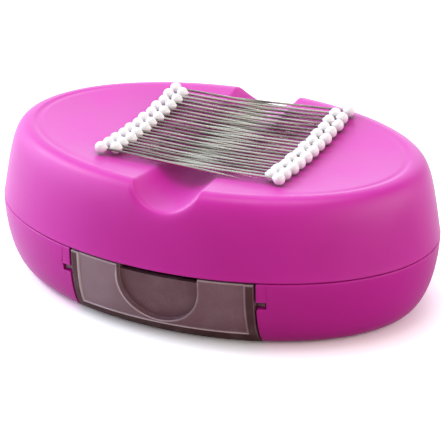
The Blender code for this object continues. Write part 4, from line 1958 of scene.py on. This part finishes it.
class PinTrees:
    """Geometry trees for one pin: its tapered shaft and its bead."""

    def __init__(self) -> None:
        """Builds both trees."""
        self.shaft = self._shaft()
        self.bead = self._bead()

    @staticmethod
    def _finished(graph: Graph, geometry: Socket, finish: Socket,
                  result: bpy.types.Node) -> bpy.types.NodeTree:
        """Ends a tree: smooth faces, real geometry and the finish.

        Args:
            graph: The tree's graph.
            geometry: What it has made so far.
            finish: The input that holds the material.
            result: The tree's output node.

        Returns:
            The tree.
        """
        smooth = graph.add("GeometryNodeSetShadeSmooth")
        graph.plug(smooth, "Geometry", geometry)
        real = graph.add("GeometryNodeRealizeInstances")
        graph.plug(real, 0, smooth.outputs[0])
        dressed = graph.add("GeometryNodeSetMaterial")
        graph.plug(dressed, "Geometry", real.outputs[0])
        graph.plug(dressed, "Material", finish)
        graph.plug(result, 0, dressed.outputs[0])
        return graph.tree

    def _shaft(self) -> bpy.types.NodeTree:
        """A wire from Start to End with a slight bow, drawn out to a point.

        Returns:
            The tree.
        """
        graph, given, result = open_group(
            "pin_shaft", SHAPE_TREE,
            [("Start", VECTOR), ("End", VECTOR), ("Bow", VECTOR),
             ("Radius", FLOAT), ("Point Length", FLOAT), ("Sides", WHOLE),
             ("Steps", WHOLE), ("Finish", MATERIAL)], [("Geometry", SHAPE)])
        start, end = given.outputs["Start"], given.outputs["End"]
        line = graph.add("GeometryNodeCurvePrimitiveLine")
        graph.plug(line, "Start", start)
        graph.plug(line, "End", end)
        points = graph.add("GeometryNodeResampleCurve")
        graph.plug(points, "Curve", line.outputs[0])
        graph.plug(points, "Count", given.outputs["Steps"])
        share = graph.add("GeometryNodeSplineParameter").outputs["Factor"]
        left = graph.math("POWER", graph.math("SUBTRACT", 1.0, share), 1.6)
        way = graph.vector("SUBTRACT", end, start)
        place = graph.vector("SUBTRACT", end, graph.vector("SCALE", way, left))
        rise = graph.math("MULTIPLY", graph.math("MULTIPLY", left,
                                                 graph.math("SUBTRACT", 1.0, left)), 4.0)
        bowed = graph.vector("ADD", place, graph.vector("SCALE", given.outputs["Bow"], rise))
        moved = graph.add("GeometryNodeSetPosition")
        graph.plug(moved, "Geometry", points.outputs[0])
        graph.plug(moved, "Position", bowed)
        remaining = graph.math("MULTIPLY", left, graph.vector("LENGTH", way, output=1))
        taper = graph.math("POWER", graph.math("DIVIDE", remaining, given.outputs["Point Length"],
                                               clamp=True), 0.75)
        scale = graph.math("MAXIMUM", taper, 0.06)
        ring = graph.add("GeometryNodeCurvePrimitiveCircle")
        graph.plug(ring, "Resolution", given.outputs["Sides"])
        graph.plug(ring, "Radius", given.outputs["Radius"])
        tube = graph.add("GeometryNodeCurveToMesh")
        if "Scale" in tube.inputs:
            graph.plug(tube, "Curve", moved.outputs[0])
            graph.plug(tube, "Scale", scale)
        else:
            sized = graph.add("GeometryNodeSetCurveRadius")
            graph.plug(sized, "Curve", moved.outputs[0])
            graph.plug(sized, "Radius", scale)
            graph.plug(tube, "Curve", sized.outputs[0])
        graph.plug(tube, "Profile Curve", ring.outputs[0])
        graph.plug(tube, "Fill Caps", True)
        return self._finished(graph, tube.outputs[0], given.outputs["Finish"], result)

    def _bead(self) -> bpy.types.NodeTree:
        """A ball that draws out to a short neck on the shaft's side.

        Returns:
            The tree.
        """
        graph, given, result = open_group(
            "pin_bead", SHAPE_TREE,
            [("Centre", VECTOR), ("Heading", VECTOR), ("Radius", FLOAT),
             ("Neck", FLOAT), ("Squash", FLOAT), ("Finish", MATERIAL)],
            [("Geometry", SHAPE)])
        ball = graph.add("GeometryNodeMeshUVSphere")
        graph.plug(ball, "Segments", 32)
        graph.plug(ball, "Rings", 20)
        graph.plug(ball, "Radius", given.outputs["Radius"])
        position = graph.add("GeometryNodeInputPosition").outputs[0]
        x, y, z = graph.split(position)
        lift = graph.math("MULTIPLY", graph.span(graph.math("DIVIDE", z, given.outputs["Radius"]),
                                                 0.86, 0.985),
                          given.outputs["Neck"])
        place = graph.add("ShaderNodeCombineXYZ")
        for socket, value in zip(range(3), (x, y, graph.math("MULTIPLY_ADD", z,
                                                             given.outputs["Squash"], lift))):
            graph.plug(place, socket, value)
        moved = graph.add("GeometryNodeSetPosition")
        graph.plug(moved, "Geometry", ball.outputs[0])
        graph.plug(moved, "Position", place.outputs[0])
        aim = graph.add("FunctionNodeAlignRotationToVector", axis="Z")
        graph.plug(aim, "Vector", given.outputs["Heading"])
        turned_ball = graph.add("GeometryNodeTransform")
        graph.plug(turned_ball, "Geometry", moved.outputs[0])
        graph.plug(turned_ball, "Translation", given.outputs["Centre"])
        graph.plug(turned_ball, "Rotation", aim.outputs[0])
        return self._finished(graph, turned_ball.outputs[0], given.outputs["Finish"], result)


@dataclass
class Pins:
    """The row of pins. Each has a bead and a shaft, and both move with the pin's own body."""

    bead_finish: bpy.types.Material
    steel_finish: bpy.types.Material
    head_radius: float = 1.3 * MM
    bead_radius: float = 1.42 * MM
    shaft_radius: float = 0.275 * MM
    point_length: float = 3.4 * MM
    neck: float = 0.3 * MM
    bow: float = 0.07 * MM
    bow_up: float = 0.6
    squash: float = 0.05
    sway: tuple[float, float, float] = (1.7, 2.9, 3.1)
    sides: int = 16
    steps: int = 26

    def place(self, node: bpy.types.Object) -> tuple[Vector, Vector]:
        """Where a pin lies.

        Args:
            node: The pin in the fixed frame.

        Returns:
            The bead's centre and the pin's point.
        """
        points = [vertex.co.copy() for vertex in node.data.vertices]
        middle = sum(points, Vector()) / len(points)
        tip = max(points, key=lambda p: (p - middle).length)
        back = max(points, key=lambda p: (p - tip).length)
        return back + (tip - back).normalized() * self.head_radius, tip

    def build(self, nodes: dict[str, bpy.types.Object]) -> int:
        """Builds and dresses every pin, and returns how many there are.

        Args:
            nodes: The nodes of the fixed frame by name.

        Returns:
            How many pins there are.
        """
        trees = PinTrees()
        names = sorted(name for name in nodes if name.startswith("pin_"))
        for index, name in enumerate(names):
            centre, tip = self.place(nodes[name])
            heading = (tip - centre).normalized()
            up, across, flat = (rate * index for rate in self.sway)
            bow = Vector((0, 1, 0)).cross(heading) * self.bow * math.sin(up) * self.bow_up
            bow += Vector((0, 0, 1)).cross(heading) * self.bow * math.sin(across + 1)
            shaft = self.grown(f"{name}_shaft", trees.shaft,
                               Start=centre + heading * self.bead_radius * 0.5, End=tip,
                               Bow=bow, Radius=self.shaft_radius, Point_Length=self.point_length,
                               Sides=self.sides,
                               Steps=self.steps, Finish=self.steel_finish)
            bead = self.grown(f"{name}_bead", trees.bead, Centre=centre, Heading=heading,
                              Radius=self.bead_radius,
                              Neck=self.neck, Squash=1.0 - self.squash * abs(math.sin(flat)),
                              Finish=self.bead_finish)
            settle(piece_from(f"{name}_shaft", shaft, self.steel_finish, 40.0), name, "pin_steel",
                   name)
            settle(piece_from(f"{name}_bead", bead, self.bead_finish, 60.0), name, "pin_bead", name)
        return len(names)

    @staticmethod
    def grown(name: str, tree: bpy.types.NodeTree, **values: object) -> bpy.types.Mesh:
        """Runs a tree on an empty mesh, and returns what it makes."""
        return run_tree(bpy.data.meshes.new(name), tree, **values)


# ---------------------------------------------------------------- studio


@dataclass(frozen=True)
class Lobe:
    """Light from one side of the surround: where it comes from, how narrow it is, and its
    colour."""

    axis: tuple[float, float, float]
    narrow: float
    colour: Colour


@dataclass(frozen=True)
class SoftBox:
    """A square soft box aimed at the case: where it stands, its side, its power in watts, and its
    colour."""

    name: str
    place: tuple[float, float, float]
    size: float
    power: float
    colour: Colour


@dataclass
class Studio:
    """A white sweep, a soft surround that is brightest behind and to the left, and the camera."""

    floor_half: float = 3.0
    surround_strength: float = 0.82
    near_floor: Colour = (0.31, 0.25, 0.22)
    far_floor: Colour = (0.97, 0.97, 1.0)
    seen_floor: Colour = (1.36, 1.34, 1.36)
    haze: Colour = (0.27, 0.24, 0.19)
    lobes: tuple[Lobe, ...] = (
        Lobe((-0.35, 1.0, 0.3), 5.0, (1.95, 2.5, 2.85)),
        Lobe((-1.0, -0.15, 0.1), 4.0, (3.6, 4.3, 5.4)),
        Lobe((1.0, 0.1, 0.1), 4.0, (3.2, 3.2, 3.3)),
        Lobe((0.1, -1.0, 0.35), 2.0, (0.42, 0.32, 0.22)))
    boxes: tuple[SoftBox, ...] = (
        SoftBox("top_box", (0.03, -0.02, 0.75), 0.35, 1.8, (0.93, 0.97, 1.0)),
        SoftBox("left_box", (-0.6, 0.02, 0.52), 0.3, 2.9, (0.84, 0.93, 1.0)))
    sensor: float = 36.0
    azimuth: float = 22.617
    elevation: float = 25.161
    distance: float = 0.623894
    lens: float = 210.7
    roll: float = 0.627
    aim: tuple[float, float] = (1.133 * MM, -3.686 * MM)
    aim_height: float = 17.8 * MM

    def floor(self) -> None:
        """A wide white floor, which the camera sees a little overexposed."""
        bm = bmesh.new()
        bmesh.ops.create_grid(bm, x_segments=1, y_segments=1, size=self.floor_half)
        mesh = bpy.data.meshes.new("floor")
        bm.to_mesh(mesh)
        bm.free()
        material = bpy.data.materials.new("studio_white")
        material.use_nodes = True
        graph = Graph(material.node_tree)
        material.node_tree.nodes.clear()
        x, y, _ = graph.split(graph.add("ShaderNodeTexCoord").outputs["Object"])
        # For bounced light the floor is painted dark in front and to the right as painted shade,
        # and white behind and to the left. The camera sees it plain white.
        away = graph.math("ADD", graph.math("MULTIPLY", y, 0.8), graph.math("MULTIPLY", x, -0.45))
        plain = graph.add("ShaderNodeBsdfDiffuse")
        graph.plug(plain, "Color", graph.mix(graph.span(away, -0.05, 0.07), rgba(self.near_floor),
                                             rgba(self.far_floor)))
        seen = graph.add("ShaderNodeBsdfDiffuse")
        graph.plug(seen, "Color", rgba(self.seen_floor))
        both = graph.add("ShaderNodeMixShader")
        graph.plug(both, 0, graph.add("ShaderNodeLightPath").outputs["Is Camera Ray"])
        graph.plug(both, 1, plain.outputs[0])
        graph.plug(both, 2, seen.outputs[0])
        graph.plug(graph.add("ShaderNodeOutputMaterial"), 0, both.outputs[0])
        mesh.materials.append(material)
        placed("floor", mesh)

    def surround(self) -> None:
        """The soft surround: lobes of light by direction, and plain white for the camera."""
        world = bpy.data.worlds.new("studio")
        bpy.context.scene.world = world
        world.use_nodes = True
        graph = Graph(world.node_tree)
        world.node_tree.nodes.clear()
        way = graph.vector("NORMALIZE", graph.add("ShaderNodeTexCoord").outputs["Generated"])
        total: Value = self.haze
        for lobe in self.lobes:
            facing = graph.vector("DOT_PRODUCT", way, Vector(lobe.axis).normalized(), output=1)
            share = graph.math("POWER", graph.math("MAXIMUM", facing, 0.0), lobe.narrow)
            total = graph.vector("ADD", total, graph.vector("SCALE", lobe.colour, share))
        light = graph.add("ShaderNodeBackground")
        graph.plug(light, "Color", total)
        graph.plug(light, "Strength", self.surround_strength)
        white = graph.add("ShaderNodeBackground")
        graph.plug(white, "Color", (1.0, 1.0, 1.0, 1.0))
        both = graph.add("ShaderNodeMixShader")
        graph.plug(both, 0, graph.add("ShaderNodeLightPath").outputs["Is Camera Ray"])
        graph.plug(both, 1, light.outputs[0])
        graph.plug(both, 2, white.outputs[0])
        graph.plug(graph.add("ShaderNodeOutputWorld"), 0, both.outputs[0])

    def lamp(self, box_light: SoftBox) -> None:
        """Adds a soft box.

        Args:
            box_light: Its sizes.
        """
        data = bpy.data.lights.new(box_light.name, "AREA")
        data.size, data.energy, data.color = box_light.size, box_light.power, box_light.colour
        made = placed(box_light.name, data)
        way = Vector((0, 0, self.aim_height)) - Vector(box_light.place)
        turn = way.to_track_quat("-Z", "Y").to_matrix().to_4x4()
        made.matrix_world = Matrix.Translation(box_light.place) @ turn

    def camera(self) -> None:
        """The camera, on a long lens at the front right."""
        a, e, roll = (math.radians(angle) for angle in (self.azimuth, self.elevation, self.roll))
        back = Vector((math.sin(a) * math.cos(e), -math.cos(a) * math.cos(e), math.sin(e)))
        level = Vector((math.cos(a), math.sin(a), 0))
        upright = back.cross(level)
        right = level * math.cos(roll) + upright * math.sin(roll)
        up = upright * math.cos(roll) - level * math.sin(roll)
        target = Vector((0, 0, self.aim_height)) + right * self.aim[0] + up * self.aim[1]
        data = bpy.data.cameras.new("camera")
        data.lens, data.sensor_width = self.lens, self.sensor
        data.clip_start, data.clip_end = 0.01, 20.0
        made = placed("camera", data)
        turn = Matrix((right, up, back)).transposed().to_4x4()
        made.matrix_world = Matrix.Translation(target + back * self.distance) @ turn
        bpy.context.scene.camera = made

    def build(self) -> None:
        """Sets up the floor, the light and the camera."""
        self.floor()
        self.surround()
        for box_light in self.boxes:
            self.lamp(box_light)
        self.camera()
        bpy.context.scene.view_settings.view_transform = "Standard"


def main() -> None:
    """Builds the whole object round the fixed frame."""
    logging.basicConfig(level=logging.INFO, format="%(name)s: %(message)s")
    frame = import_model()
    palette = Palette.mix()
    low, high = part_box("upper_shell")
    form = CaseForm(half_length=(high.x - low.x) / 2, half_width=(high.y - low.y) / 2, crest=high.z)
    upper = UpperShell(form, palette.pink).build()
    LOG.info("%s: %d faces", upper.name, len(upper.data.polygons))
    base = BaseShell(form, palette.pink).build()
    LOG.info("%s: %d faces", base.name, len(base.data.polygons))
    drawer = Drawer(form, palette.smoke).build()
    LOG.info("%s: %d faces", drawer.name, len(drawer.data.polygons))
    for bar in Magnets(palette.ferrite).build():
        LOG.info("%s: %d faces", bar.name, len(bar.data.polygons))
    Screws(palette.zinc).build(frame["nodes"])
    LOG.info("pins: %d", Pins(palette.bead, palette.nickel).build(frame["nodes"]))
    Studio().build()
    LOG.info("studio is set")


if __name__ == "__main__":
    main()
